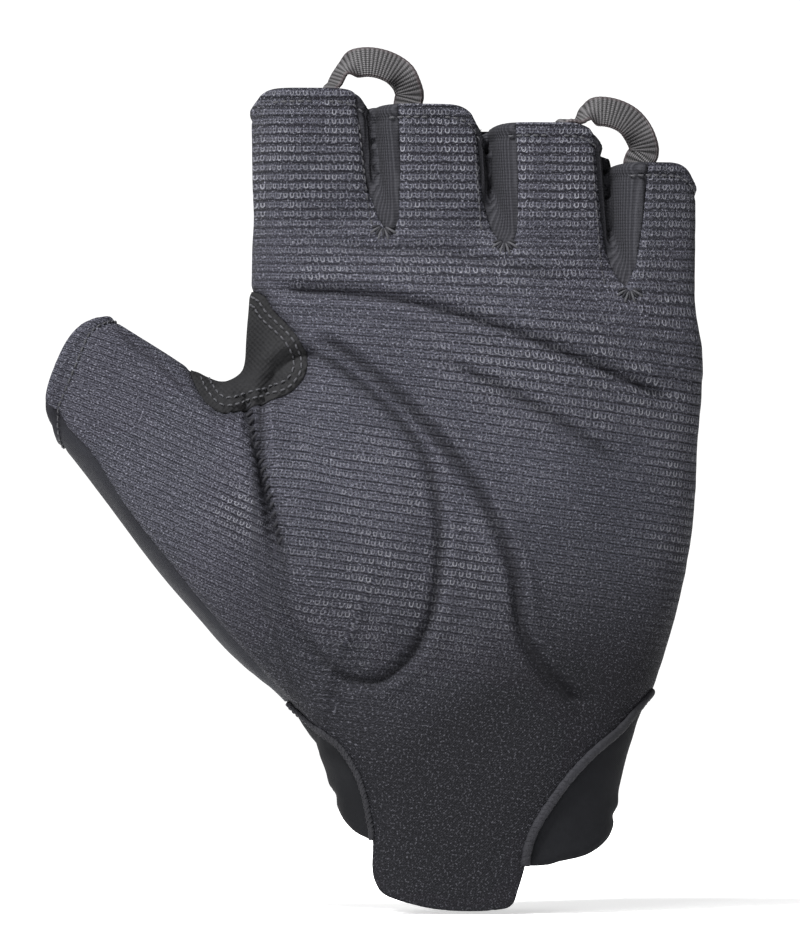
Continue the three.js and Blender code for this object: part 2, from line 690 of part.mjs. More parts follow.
function cuff() {
  const behind = cloth.subtract(backOf).intersect(belowCuffTop(-seamGap / 2));
  const before = cloth.intersect(frontHalf(seamGap)).subtract(palmBlock).subtract(joined(bindingRooms));
  return behind.add(before).intersect(aboveHem);
}

function binding(i) {
  const roll = hand(bindingRise, 0).subtract(room).intersect(bindingBlocks[i]);
  return roll.intersect(front).intersect(aboveHem);
}

function backPanel() {
  return cloth.subtract(backOf)
    .subtract(belowCuffTop(seamGap / 2))
    .subtract(slotRooms)
    .subtract(grownPatch)
    .subtract(thumbZone(seamGap / 2));
}

function thumbBack() {
  const behind = cloth.subtract(backOf).intersect(thumbZone(-seamGap / 2));
  const strip = cloth.intersect(frontHalf(seamGap)).intersect(stripBlock(-seamGap / 2));
  return behind.add(strip).subtract(belowCuffTop(seamGap / 2)).subtract(grownPatch);
}

const glove = new THREE.Group();
glove.add(named('palm_panel', palmPanel(), knit));
glove.add(named('back_panel', backPanel(), smoothCloth));
glove.add(named('thumb_back', thumbBack(), smoothCloth));
glove.add(named('crotch_patch', cloth.intersect(patchBlock), suede));
glove.add(named('cuff', cuff(), smoothCloth));
bindings.forEach(({ name }, i) => glove.add(named(name, binding(i), thread)));
['fourchette_index_middle', 'fourchette_middle_ring', 'fourchette_ring_little'].forEach((name, i) => {
  glove.add(named(name, cloth.intersect(slots[i]), ribbedKnit));
});
loops.forEach((loop) => glove.add(named(loop.name, pullLoop(loop), webbing)));

export default glove;
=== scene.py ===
"""Looks of a fingerless cycling glove for a left hand, seen from the palm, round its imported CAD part.

The cloth is one skin round the palm, the thumb and the fingers. It is cut along the seams into
panels, and each panel gets its thickness. Stitches, bindings and pull loops are laid on it.
Lengths are millimetres until a mesh is made. X runs across the palm away from the thumb, Y away
from the palm side and Z towards the fingertips.
"""

import math

import bpy
import numpy as np
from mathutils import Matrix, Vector
from mathutils.bvhtree import BVHTree


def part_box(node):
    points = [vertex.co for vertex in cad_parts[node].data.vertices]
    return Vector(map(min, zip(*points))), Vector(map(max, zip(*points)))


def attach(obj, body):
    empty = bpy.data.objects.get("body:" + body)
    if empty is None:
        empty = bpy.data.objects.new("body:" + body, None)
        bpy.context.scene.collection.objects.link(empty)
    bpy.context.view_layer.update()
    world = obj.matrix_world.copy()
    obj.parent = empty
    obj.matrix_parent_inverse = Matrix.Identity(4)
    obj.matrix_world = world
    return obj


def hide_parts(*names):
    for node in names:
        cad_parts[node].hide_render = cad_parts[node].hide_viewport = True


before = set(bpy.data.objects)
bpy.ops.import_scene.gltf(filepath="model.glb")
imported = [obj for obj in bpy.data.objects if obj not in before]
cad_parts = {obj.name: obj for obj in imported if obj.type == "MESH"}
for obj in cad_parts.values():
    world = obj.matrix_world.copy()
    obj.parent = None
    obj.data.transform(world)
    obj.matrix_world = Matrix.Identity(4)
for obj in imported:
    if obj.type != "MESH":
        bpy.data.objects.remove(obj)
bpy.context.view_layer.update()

# Driving sizes, read from the frame
METRE = 1000.0
PALM_LOW, PALM_HIGH = (np.array(corner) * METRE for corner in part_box("palm_panel"))
CUFF_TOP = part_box("cuff")[1].z * METRE
INDEX_RIM = PALM_HIGH[2]
PALM_WIDTH = 2.008 * PALM_HIGH[0]
PALM_LENGTH = 0.796 * INDEX_RIM
WRIST_WIDTH = 0.617 * PALM_WIDTH
WRIST_DEPTH = 0.306 * PALM_LENGTH
KNUCKLE_DEPTH = 0.218 * PALM_LENGTH
THUMB_LENGTH = 0.481 * PALM_LENGTH
THUMB_ROOT_WIDTH = 0.29 * PALM_LENGTH
THUMB_MOUTH_WIDTH = 0.202 * PALM_LENGTH
THUMB_ROOT_DEPTH = 0.282 * PALM_LENGTH
THUMB_MOUTH_DEPTH = 0.177 * PALM_LENGTH
THUMB_ANGLE = math.radians(40)
THUMB_FORWARD = 5.0

# Cloth
CELL = 0.7
CLOTH = 1.2
WEBBING_WIDTH = 6.2
WEBBING_THICKNESS = 1.1
WEBBING_LEAN = math.radians(12)
WEBBING_RIB = 0.77
FOOT_DEPTH = 5.0
HEM_DEPTH = 2.7
HEM_REACH = 0.78
RUN_BREAK = 2.5
COURSE = 1.9
WALE = 1.55

# Fingers from the index to the little finger: centre across the palm, width and depth, height of the
# rim, yaw, place behind the palm, lean and width of the root, and how far the rim's corners drop
FINGER_COLUMNS = ("x", "width", "depth", "rim", "yaw", "back", "lean", "root", "left", "right")
FINGERS = [dict(zip(FINGER_COLUMNS, row)) for row in (
    (-33.8, 22.6, 20.0, 155.9, 14, -3.0, 3.6, 1.26, 2.6, 3.6),
    (-10.7, 23.0, 20.0, 152.7, 18, -1.0, 3.9, 1.04, 0.6, 6.5),
    (13.4, 23.0, 19.5, 149.0, 19, 1.5, 4.0, 1.02, 1.2, 3.6),
    (35.3, 17.6, 17.5, 141.0, 27, 5.0, 1.0, 0.9, 1.0, 4.0),
)]
FINGER_SQUARENESS = 4.0
PALM_SQUARENESS = 2.5
TUBE_START = 0.8 * PALM_LENGTH
ROOT_BACK = 0.3
ROOT_DEPTH = 0.85
RIM_TILT = 0.09

# How softly the forms run into each other
WEB_BLEND = 8.0
CROTCH_BLEND = 9.0
THUMB_BLEND = 7.0
ROOT_BLEND = 4.0

# Bottoms of the slots between the fingers
CROTCH_X = np.array([-60.0, -19.0, 6.4, 32.0, 60.0])
CROTCH_Z = np.array([131.0, 126.3, 123.4, 113.6, 106.0])

# Palm rings: height, spread from wrist to knuckles, shift, front and back depth, fall to the right
PALM_RINGS = np.array([
    [-0.14, -0.02, 0, 0.5, 0.5, 0],
    [0, 0, 0.003, 0.5, 0.5, 0],
    [0.1, 0.065, 0.002, 0.5, 0.5, 0],
    [0.2, 0.293, -0.005, 0.51, 0.51, 0],
    [0.29, 0.53, -0.005, 0.54, 0.53, 0],
    [0.41, 0.797, -0.012, 0.57, 0.56, 0.01],
    [0.53, 0.949, -0.01, 0.56, 0.57, 0.02],
    [0.68, 0.983, -0.005, 0.54, 0.56, 0.04],
    [0.78, 1, 0.002, 0.52, 0.53, 0.08],
    [0.88, 0.948, 0.011, 0.5, 0.5, 0.14],
    [0.975, 0.865, 0.011, 0.42, 0.42, 0.22],
])

# Thumb rings: along, widening to the mouth, upper and lower edge, lead of the upper edge, bulge
THUMB_RINGS = np.array([
    [-0.25, 0, 0.55, -0.5, 0.19, 0.78],
    [0.059, 0, 0.647, -0.533, 0.262, 0.95],
    [0.291, 0, 0.74, -0.489, 0.244, 1.08],
    [0.524, 0, 0.597, -0.403, 0.161, 1.04],
    [0.766, 0.5, 0.636, -0.348, 0.154, 1],
    [1, 1, 0.695, -0.31, 0.16, 1],
])
THUMB_ROOT = np.array([-0.42 * PALM_WIDTH, -3.0, 0.45 * PALM_LENGTH])

# Seams and folds as the palm shows them, in millimetres across and up
PATCH_EDGE = [(-59.5, 115.3), (-45.1, 114.2), (-41, 110.2), (-35.8, 104.5), (-34.2, 98.6), (-37.2, 93.9),
              (-44.1, 91.6), (-52.1, 90.1), (-57.7, 98)]
THENAR_PAD = [(-32.8, 101.5), (-24, 95.9), (-15.2, 87.5), (-9.2, 78.1), (-7, 65.6), (-7.8, 52.5),
              (-10.8, 43.5), (-15.2, 37.9), (-20.3, 35), (-26.4, 35.7), (-32, 40), (-36.3, 46.1),
              (-39.8, 53.3), (-41.5, 62), (-42.5, 72), (-43, 82), (-43, 92), (-39.5, 99.5)]
LONG_GROOVE = [(-34.2, 104.8), (-26.9, 102.3), (-16, 93.5), (-4.9, 81.8), (2.5, 71.1), (8, 58.2), (9.8, 45.5),
               (15, 36.3), (23.4, 29.1)]
HEAD_FOLD = [(-43.5, 114.8), (-28.7, 114.2), (-17, 113), (-5.3, 110.3), (6.1, 106.8), (15.6, 103.1),
             (30.3, 97), (42, 92)]
HEART_FOLD = [(-9, 100.9), (2.5, 96.1), (13.7, 90.2), (21.3, 85.3), (32.6, 77.3)]
ROOT_FOLD = [(-32.6, 124.6), (-17, 123.2), (-1.2, 121.8), (15.6, 117.5), (23.2, 116)]
DART = [(-46.3, 92.2), (-45.1, 85.3), (-43.9, 81), (-42.6, 75.4), (-40.6, 67.4), (-39.2, 61.5), (-38, 54),
        (-35, 47)]
RIGHT_BINDING = [(36.5, 32.8), (33.4, 29.3), (29.5, 24.8), (24.2, 20.3), (19.7, 15.6), (15.6, 10.2),
                 (12.5, 5.3), (10.9, 1.2), (10.2, -3.0)]
LEFT_BINDING = [(-38.1, 30.3), (-33.8, 26.4), (-30.1, 23.6), (-27.3, 21.3), (-25, 18), (-23.2, 14.3),
                (-21.7, 8.6), (-20.7, 1.5)]
TONGUE = [(10.2, -3.0), (9.0, -7.0), (7.4, -10.8), (3.5, -11.7), (-0.8, -11.9), (-6, -11.7), (-11.1, -10.9),
          (-18.0, -8.8), (-20.3, -6.1), (-20.9, -3), (-20.7, 1.5)]
CUFF_HEM = [(-60, 16), (-37, 13.4), (-29.7, 12.3), (-28.7, 8.6), (-26.4, 5.3), (-22.1, 2.7), (-9, -1.4),
            (11.5, -2.7), (18, -1.8), (23.8, -0.4), (27.9, 2.5), (29.1, 5.3), (29.7, 8.2), (37, 10), (60, 12)]
THUMB_STRIP = [(-102, 101), (-86.5, 91), (-83, 86.3), (-78.1, 81), (-70.3, 68.9), (-58.8, 54.5),
               (-49.8, 43.7), (-40.8, 33.4), (-33, 25)]
THUMB_BACK_SEAM = [(-55.8, 99.2), (-46.5, 89.3), (-39.1, 74.4), (-34.4, 59.5), (-32.6, 44.6), (-33.5, 24.8)]
SIDE_SEAM = [(-120, -8.5), (-93, -8.5), (-56, -6), (-44, 0.5), (9.3, 3), (37, 7), (56, 9), (120, 9)]
THUMB_FOLD = [(-73.6, 107.8), (-69, 103.5), (-61.3, 97), (-56.2, 91.8)]
BAR_TACKS = [(-18.6, 126.6), (6.2, 123.6), (31.8, 113.8)]

# Pressed lines: depth, width and length of the ends, and the same for their shade
FOLD_COLUMNS = ("line", "depth", "width", "fade", "shade", "shade_width", "shade_fade")
FOLDS = [dict(zip(FOLD_COLUMNS, row)) for row in (
    (LONG_GROOVE, 1.7, 1.35, 5, 1, 1.2, 7),
    (HEAD_FOLD, 1.5, 1.3, 9, 0.75, 1.1, 12),
    (HEART_FOLD, 1.1, 1.3, 9, 0.75, 1.1, 12),
    (ROOT_FOLD, 0.8, 1.4, 9, 0.5, 1.1, 12),
    (THUMB_FOLD, 0.45, 0.8, 4, 0.5, 0.8, 5),
)]
FOLD_LIP = 0.45

# Below the dart's end, the line between the courses of the thumb and of the palm
DART_ONWARD = [(-31, 35), (-25, 10), (-20, -25)]

# How far the fourchettes' edges lie inside the fingers' corners, by height over the crotch, and how
# much further on the left and the right finger of each slot
SLOT_HEIGHTS = [-14, -3.5, -1, 2, 12, 30]
SLOT_INSETS = [-8, -1.2, 0.3, 1.3, 2.2, 2.6]
SLOT_LEFT = [1.3, 0.5, 0.3]
SLOT_RIGHT = [(0.9, 0.9), (0.7, 0.7), (0, 3)]
SLOT_RIGHT_TOP = 27


def smoothstep(value, low, high):
    share = np.clip((value - low) / (high - low), 0.0, 1.0)
    return share * share * (3 - 2 * share)


def bell(distance, width):
    return np.exp(-((distance / width) ** 2))


def smooth_min(a, b, blend):
    share = np.clip(0.5 + 0.5 * (b - a) / blend, 0.0, 1.0)
    return b + (a - b) * share - blend * share * (1 - share)


def smooth_max(a, b, blend):
    return -smooth_min(-a, -b, blend)


def eased(table, count):
    """The rows of a table with Catmull-Rom rows between them."""
    table = np.asarray(table, float)
    ends = np.vstack([2 * table[0] - table[1], table, 2 * table[-1] - table[-2]])
    place = np.linspace(0, len(table) - 1, count)
    row = np.minimum(place.astype(int), len(table) - 2)
    t = (place - row)[:, None]
    a, b, c, d = (ends[row + k] for k in range(4))
    return 0.5 * (2 * b + (c - a) * t + (2 * a - 5 * b + 4 * c - d) * t ** 2
                  + (3 * b - a - 3 * c + d) * t ** 3)


def evened(fine, step):
    """A fine line's points at even distances of about a step."""
    lengths = np.r_[0, np.cumsum(np.linalg.norm(np.diff(fine, axis=0), axis=1))]
    places = np.linspace(0, lengths[-1], max(int(lengths[-1] / step), 2) + 1)
    return np.stack([np.interp(places, lengths, column) for column in fine.T], axis=1)


def curve(points, step=0.5):
    """A smooth line through points."""
    return evened(eased(points, 40 * len(points)), step)


def loop(points, step=0.5):
    """A smooth closed line through points."""
    around = eased(points[-2:] + points + points[:3], 40 * (len(points) + 5))
    per = (len(around) - 1) / (len(points) + 4)
    first, last = int(round(2 * per)), int(round((len(points) + 2) * per))
    return evened(around[first:last + 1], step)[:-1]


def to_line(points, line):
    """Distance of each point to a line, side (above 0 on the left of its way), and length along it."""
    best = np.full(len(points), 1e9)
    side = np.zeros(len(points))
    along = np.zeros(len(points))
    start = 0.0
    for a, b in zip(line[:-1], line[1:]):
        way = b - a
        length = np.hypot(*way)
        away = points - a
        share = np.clip(away @ way / length ** 2, 0, 1)
        gap = away - share[:, None] * way
        distance = np.hypot(gap[:, 0], gap[:, 1])
        nearer = distance < best
        best[nearer] = distance[nearer]
        side[nearer] = (way[0] * away[:, 1] - way[1] * away[:, 0])[nearer]
        along[nearer] = (start + share * length)[nearer]
        start += length
    return best, np.sign(side), along


def inside(points, outline):
    """Distance of each point from a closed outline, above 0 inside it."""
    closed = np.vstack([outline, outline[:1]])
    distance = to_line(points, closed)[0]
    within = np.zeros(len(points), bool)
    x, z = points.T
    for (ax, az), (bx, bz) in zip(closed[:-1], closed[1:]):
        if az == bz:
            continue
        crosses = ((az > z) != (bz > z)) & (x < (bx - ax) * (z - az) / (bz - az) + ax)
        within ^= crosses
    return np.where(within, distance, -distance)


def tube_distance(across, deep, width, depth, power):
    """Distance to a rounded tube's wall, below 0 in it."""
    a = np.abs(across) / width + 1e-6
    b = np.abs(deep) / depth + 1e-6
    size = (a ** power + b ** power) ** (1 / power)
    slope = size ** (1 - power) * np.hypot(a ** (power - 1) / width, b ** (power - 1) / depth)
    return (size - 1) / slope


# The palm's rings: height, centre, half width, front, back, yaw and tilt
palm_fine = eased(PALM_RINGS, 90)
palm_z = palm_fine[:, 0] * PALM_LENGTH
palm_x = palm_fine[:, 2] * PALM_WIDTH
palm_half = (WRIST_WIDTH + (PALM_WIDTH - WRIST_WIDTH) * palm_fine[:, 1]) / 2
palm_thick = WRIST_DEPTH + (KNUCKLE_DEPTH - WRIST_DEPTH) * palm_fine[:, 1]
palm_front = palm_fine[:, 3] * palm_thick
palm_back = palm_fine[:, 4] * palm_thick
palm_yaw = np.radians(5) * np.maximum(palm_fine[:, 1], 0)
palm_tilt = -palm_fine[:, 5] * PALM_WIDTH / (2 * palm_half)


def palm_place(points):
    """Where points lie in the palm: the ring's height, across and deep in it."""
    x, y, z = points.T
    level = z.copy()
    for _ in range(4):
        level = z - np.interp(level, palm_z, palm_tilt) * (x - np.interp(level, palm_z, palm_x))
    yaw = np.interp(level, palm_z, palm_yaw)
    from_middle = x - np.interp(level, palm_z, palm_x)
    across = from_middle * np.cos(yaw) + y * np.sin(yaw)
    deep = y * np.cos(yaw) - from_middle * np.sin(yaw)
    return level, across, deep


def palm_field(points):
    level, across, deep = palm_place(points)
    depth = np.where(deep < 0, np.interp(level, palm_z, palm_front), np.interp(level, palm_z, palm_back))
    wall = tube_distance(across, deep, np.interp(level, palm_z, palm_half), depth, PALM_SQUARENESS)
    over = points[:, 2] - np.interp(points[:, 0], CROTCH_X, CROTCH_Z)
    return smooth_max(wall, over, CROTCH_BLEND)


def finger_place(finger, points):
    """Where points lie in a finger: share of its length, across and deep, half width and depth."""
    x, y, z = points.T
    share = np.clip((z - TUBE_START) / (finger["rim"] - TUBE_START), 0, 1)
    yaw = np.radians(finger["yaw"])
    from_middle = x - finger["x"] - finger["lean"] * (1 - share)
    behind = y - finger["back"] * (ROOT_BACK + (1 - ROOT_BACK) * share)
    across = from_middle * np.cos(yaw) + behind * np.sin(yaw)
    deep = behind * np.cos(yaw) - from_middle * np.sin(yaw)
    width = finger["width"] * (finger["root"] + (1 - finger["root"]) * share) / 2
    depth = finger["depth"] * (ROOT_DEPTH + (1 - ROOT_DEPTH) * share) / 2
    return share, across, deep, width, depth


def finger_field(finger, points):
    _, across, deep, width, depth = finger_place(finger, points)
    wall = tube_distance(across, deep, width, depth, FINGER_SQUARENESS)
    return np.maximum(wall, TUBE_START - points[:, 2])


# The thumb's rings in the palm's plane: middle, way of the width, half width, half depth
thumb_fine = eased(THUMB_RINGS, 60)
ahead = np.array([-math.cos(THUMB_ANGLE), math.sin(THUMB_ANGLE)])
upward = np.array([math.sin(THUMB_ANGLE), math.cos(THUMB_ANGLE)])
thumb_along = thumb_fine[:, 0]
thumb_across = THUMB_ROOT_WIDTH + (THUMB_MOUTH_WIDTH - THUMB_ROOT_WIDTH) * thumb_fine[:, 1]
thumb_depth = (THUMB_ROOT_DEPTH + (THUMB_MOUTH_DEPTH - THUMB_ROOT_DEPTH) * np.maximum(thumb_along, 0))
thumb_depth = thumb_depth * thumb_fine[:, 5] / 2


def thumb_edge(share, lead):
    onward = thumb_along * THUMB_LENGTH + lead * thumb_across
    return THUMB_ROOT[[0, 2]] + onward[:, None] * ahead + (share * thumb_across)[:, None] * upward


thumb_upper = thumb_edge(thumb_fine[:, 2], thumb_fine[:, 4])
thumb_lower = thumb_edge(thumb_fine[:, 3], -thumb_fine[:, 4])
thumb_middle = (thumb_upper + thumb_lower) / 2
thumb_half = np.linalg.norm(thumb_upper - thumb_lower, axis=1) / 2
thumb_way = (thumb_upper - thumb_lower) / (2 * thumb_half[:, None])


def thumb_place(points):
    """Where points lie in the thumb: share of its length, across and deep, half width and depth."""
    flat = points[:, [0, 2]]
    share = (flat - THUMB_ROOT[[0, 2]]) @ ahead / THUMB_LENGTH

    def ring(values):
        return np.interp(share, thumb_along, values)

    def measured():
        way = np.stack([ring(column) for column in thumb_way.T], axis=1)
        away = flat - np.stack([ring(column) for column in thumb_middle.T], axis=1)
        return (away * way).sum(1), away[:, 1] * way[:, 0] - away[:, 0] * way[:, 1]

    for _ in range(6):
        beyond = measured()[1]
        share = np.clip(share + 0.8 * beyond / THUMB_LENGTH, THUMB_RINGS[0, 0], 1)
    across, beyond = measured()
    deep = points[:, 1] - THUMB_ROOT[1] + THUMB_FORWARD * share
    return share, across, deep, ring(thumb_half), ring(thumb_depth), beyond


def thumb_field(points):
    share, across, deep, width, depth, beyond = thumb_place(points)
    wall = tube_distance(across, deep, width, depth, PALM_SQUARENESS)
    return np.maximum(wall, np.where(share <= THUMB_RINGS[0, 0], -beyond, -1e3))


def glove_field(points):
    """Distance to the glove's outer skin, below 0 in it."""
    field = palm_field(points)
    near = points[:, 0] < -15
    field[near] = smooth_min(field[near], thumb_field(points[near]), THUMB_BLEND)
    high = points[:, 2] > TUBE_START - 4
    over = points[high, 2] - np.interp(points[high, 0], CROTCH_X, CROTCH_Z)
    web = 0.05 + WEB_BLEND * smoothstep(-over, -15, 1)
    fingers = finger_field(FINGERS[0], points[high])
    for finger in FINGERS[1:]:
        fingers = smooth_min(fingers, finger_field(finger, points[high]), web)
    field[high] = smooth_min(field[high], fingers, ROOT_BLEND)
    return field


def skin_of(field, low, high, cell):
    """Points and triangles of a field's zero surface, one point to each cell that it crosses."""
    counts = np.ceil((high - low) / (3 * cell)).astype(int)
    axes = [low[k] + 3 * cell * np.arange(counts[k] + 1) for k in range(3)]
    coarse = np.stack(np.meshgrid(*axes, indexing="ij"), -1).reshape(-1, 3)
    rough = field(coarse).reshape(counts + 1)
    fine_counts = 3 * counts
    value = rough[:-1, :-1, :-1].repeat(3, 0).repeat(3, 1).repeat(3, 2)
    where = np.nonzero(np.abs(value) < 12 * cell)
    value[where] = field(low + cell * np.stack(where, 1))
    inner = value < 0
    index = -np.ones(fine_counts - 1, int)
    corners = [(i, j, k) for i in (0, 1) for j in (0, 1) for k in (0, 1)]
    near = [inner[i:i + fine_counts[0] - 1, j:j + fine_counts[1] - 1, k:k + fine_counts[2] - 1]
            for i, j, k in corners]
    total = sum(part.astype(np.int8) for part in near)
    cells = np.stack(np.nonzero((total > 0) & (total < 8)), 1)
    index[tuple(cells.T)] = np.arange(len(cells))
    sums = np.zeros((len(cells), 3))
    hits = np.zeros(len(cells))
    for a in corners:
        for axis in range(3):
            if a[axis]:
                continue
            b = np.array(a)
            b[axis] = 1
            va = value[tuple((cells + a).T)]
            vb = value[tuple((cells + b).T)]
            cut = (va < 0) != (vb < 0)
            spot = np.tile(np.array(a, float), (len(cells), 1))
            spot[:, axis] = np.where(cut, va / np.where(cut, va - vb, 1), 0)
            sums[cut] += spot[cut]
            hits[cut] += 1
    points = low + cell * (cells + sums / hits[:, None])
    quads = []
    for axis in range(3):
        other = [k for k in range(3) if k != axis]
        first = [slice(None)] * 3
        second = [slice(None)] * 3
        first[axis] = slice(0, -1)
        second[axis] = slice(1, None)
        cut = inner[tuple(first)] != inner[tuple(second)]
        edges = np.stack(np.nonzero(cut), 1)
        ok = np.ones(len(edges), bool)
        for k in other:
            ok &= (edges[:, k] > 0) & (edges[:, k] < fine_counts[k] - 1)
        ok &= edges[:, axis] < fine_counts[axis] - 1
        edges = edges[ok]
        out = inner[tuple(edges.T)]
        ring = []
        for da, db in ((0, 0), (-1, 0), (-1, -1), (0, -1)):
            cell_at = edges.copy()
            cell_at[:, other[0]] += da
            cell_at[:, other[1]] += db
            ring.append(index[tuple(cell_at.T)])
        ring = np.stack(ring, 1)
        if axis == 1:
            out = ~out
        ring[~out] = ring[~out][:, ::-1]
        quads.append(ring)
    quads = np.vstack(quads)
    quads = quads[(quads >= 0).all(1)]
    return points, np.vstack([quads[:, [0, 1, 2]], quads[:, [0, 2, 3]]])


def gradient(field, points, step=0.05):
    """The field's slope at points, and its length."""
    slope = np.stack([(field(points + d) - field(points - d)) / (2 * step) for d in step * np.eye(3)], 1)
    size = np.linalg.norm(slope, axis=1)
    return slope / np.maximum(size, 1e-6)[:, None], np.maximum(size, 0.3)


def edges_of(faces):
    return np.vstack([faces[:, [0, 1]], faces[:, [1, 2]], faces[:, [2, 0]]])


def settled(field, points, faces):
    """Evens out a skin and puts its points on the zero surface."""
    edges = np.unique(np.sort(edges_of(faces), axis=1), axis=0)
    counts = np.bincount(edges.ravel(), minlength=len(points))
    for _ in range(3):
        sums = np.zeros_like(points)
        for a, b in ((0, 1), (1, 0)):
            for axis in range(3):
                sums[:, axis] += np.bincount(edges[:, a], points[edges[:, b], axis], len(points))
        points = points + 0.5 * (sums / np.maximum(counts, 1)[:, None] - points)
        way, size = gradient(field, points)
        points = points - way * np.clip(field(points) / size, -1, 1)[:, None]
    way, size = gradient(field, points, 0.2)
    points = points - way * np.clip(field(points) / size, -1, 1)[:, None]
    return points, gradient(field, points, 0.4)[0]


def split(points, faces, extra, level):
    """Cuts triangles along the zero line of a level at the points. extra holds more values a point."""
    level = np.where(np.abs(level) < 0.05, 0.0, level)
    sign = np.sign(level[faces])
    mixed = (sign.max(1) > 0) & (sign.min(1) < 0)
    kept, cut, sign = faces[~mixed], faces[mixed], sign[mixed]
    has_zero = (sign == 0).any(1)
    lone = np.where(has_zero, np.argmax(sign == 0, 1), np.argmax(sign == -np.sign(sign.sum(1))[:, None], 1))
    turn = (lone[:, None] + np.arange(3)) % 3
    cut = np.take_along_axis(cut, turn, 1)
    v0, v1, v2 = cut.T
    pairs = np.vstack([
        np.stack([v1[has_zero], v2[has_zero]], 1),
        np.stack([v0[~has_zero], v1[~has_zero]], 1),
        np.stack([v0[~has_zero], v2[~has_zero]], 1),
    ])
    unique, where = np.unique(np.sort(pairs, axis=1), axis=0, return_inverse=True)
    where = where.ravel() + len(points)
    a, b = unique.T
    share = (level[a] / (level[a] - level[b]))[:, None]
    points = np.vstack([points, points[a] + share * (points[b] - points[a])])
    extra = np.vstack([extra, extra[a] + share * (extra[b] - extra[a])])
    zeros, others = has_zero.sum(), (~has_zero).sum()
    mid, p01, p02 = where[:zeros], where[zeros:zeros + others], where[zeros + others:]
    z0, z1, z2 = cut[has_zero].T
    l0, l1, l2 = cut[~has_zero].T
    made = [np.stack([z0, z1, mid], 1), np.stack([z0, mid, z2], 1), np.stack([l0, p01, p02], 1),
            np.stack([p01, l1, l2], 1), np.stack([p01, l2, p02], 1)]
    return points, np.vstack([kept] + made), extra


def owner_of(points):
    """Which finger each point belongs to."""
    return np.argmin(np.stack([finger_field(finger, points) for finger in FINGERS]), axis=0)


def rim_drop(finger, across, deep, width, depth):
    """How far a finger's rim lies below its highest place, seen from the palm side."""
    turn = math.radians(finger["yaw"])
    seen = across * math.cos(turn) - deep * math.sin(turn)
    power = FINGER_SQUARENESS / (FINGER_SQUARENESS - 1)
    reach = ((width * math.cos(turn)) ** power + (depth * math.sin(turn)) ** power) ** (1 / power)
    side = np.clip(seen / reach, -1.1, 1.1)
    corner = np.where(side < 0, finger["left"], finger["right"])
    return corner * np.abs(side) ** 6 + RIM_TILT * (deep + depth)


def thumb_mouth(side):
    """How far the thumb's mouth bulges out, from its lower edge at -1 to its upper edge at 1."""
    return 3.9 * (1 - np.abs(side) ** 2.8) - 1.6 * side ** 8


def rim_level(points):
    """Height over the rims of the fingers and beyond the thumb's mouth."""
    owner = owner_of(points)
    level = np.full(len(points), -1e3)
    for i, finger in enumerate(FINGERS):
        mine = (owner == i) & (points[:, 2] > TUBE_START)
        _, across, deep, width, depth = finger_place(finger, points[mine])
        drop = rim_drop(finger, across, deep, width, depth)
        level[mine] = points[mine, 2] - finger["rim"] + drop
    thumb = (points[:, 0] < -60) & (points[:, 2] < 125)
    share, across, _, width, _, beyond = thumb_place(points[thumb])
    side = np.clip(across / width, -1.1, 1.1)
    level[thumb] = (share - 1) * THUMB_LENGTH + beyond - thumb_mouth(side)
    return level


def slot_level(i, points):
    """Above 0 on the side walls that the fourchette right of finger i covers."""
    crotch = np.interp((FINGERS[i]["x"] + FINGERS[i + 1]["x"]) / 2, CROTCH_X, CROTCH_Z) + 1
    over = points[:, 2] - crotch
    inset = np.interp(over, SLOT_HEIGHTS, SLOT_INSETS)
    wider = np.interp(over, [0, SLOT_RIGHT_TOP], SLOT_RIGHT[i])
    _, across_left, _, width_left, _ = finger_place(FINGERS[i], points)
    _, across_right, _, width_right, _ = finger_place(FINGERS[i + 1], points)
    level = np.minimum(across_left - width_left + inset + SLOT_LEFT[i],
                       -across_right - width_right + inset + wider)
    return np.where(points[:, 2] < TUBE_START + 4, -5, level)


patch_line = loop(PATCH_EDGE)
strip_line = curve(THUMB_STRIP, 1)
back_seam_line = curve(THUMB_BACK_SEAM, 1)
hem_line = curve(CUFF_HEM, 0.5)
right_line = curve(RIGHT_BINDING)
left_line = curve(LEFT_BINDING)
tongue_line = curve(TONGUE)
palm_outline = np.vstack([
    right_line, tongue_line[1:-1], left_line[::-1], [(-150, 30.3), (-150, 200), (150, 200), (150, 32.8)],
])
hem_outline = np.vstack([hem_line, [(150, 12), (150, 200), (-150, 200), (-150, 16)]])
strip_outline = np.vstack([strip_line, [(-33, -60), (-150, -60), (-150, 101)]])
thumb_zone = np.vstack([back_seam_line, [(-33.5, -60), (-150, -60), (-150, 200), (-55.8, 200)]])
thenar_line = loop(THENAR_PAD)
dart_line = curve(DART)


def seams_of(points):
    """The levels whose zero lines are the seams, a column for each."""
    flat = points[:, [0, 2]]
    front = np.interp(points[:, 0], *np.array(SIDE_SEAM, float).T) - points[:, 1]
    return np.stack([
        rim_level(points),
        front,
        slot_level(0, points),
        slot_level(1, points),
        slot_level(2, points),
        inside(flat, patch_line),
        inside(flat, palm_outline),
        inside(flat, hem_outline),
        inside(flat, strip_outline),
        CUFF_TOP - points[:, 2],
        inside(flat, thumb_zone),
    ], axis=1)


RIM, FRONT, SLOT_A, SLOT_B, SLOT_C, PATCH, PALM, HEM, STRIP, CUFF, THUMB_ZONE = range(11)
PANELS = ["palm_panel", "back_panel", "thumb_back", "crotch_patch", "cuff", "fourchette_index_middle",
          "fourchette_middle_ring", "fourchette_ring_little"]


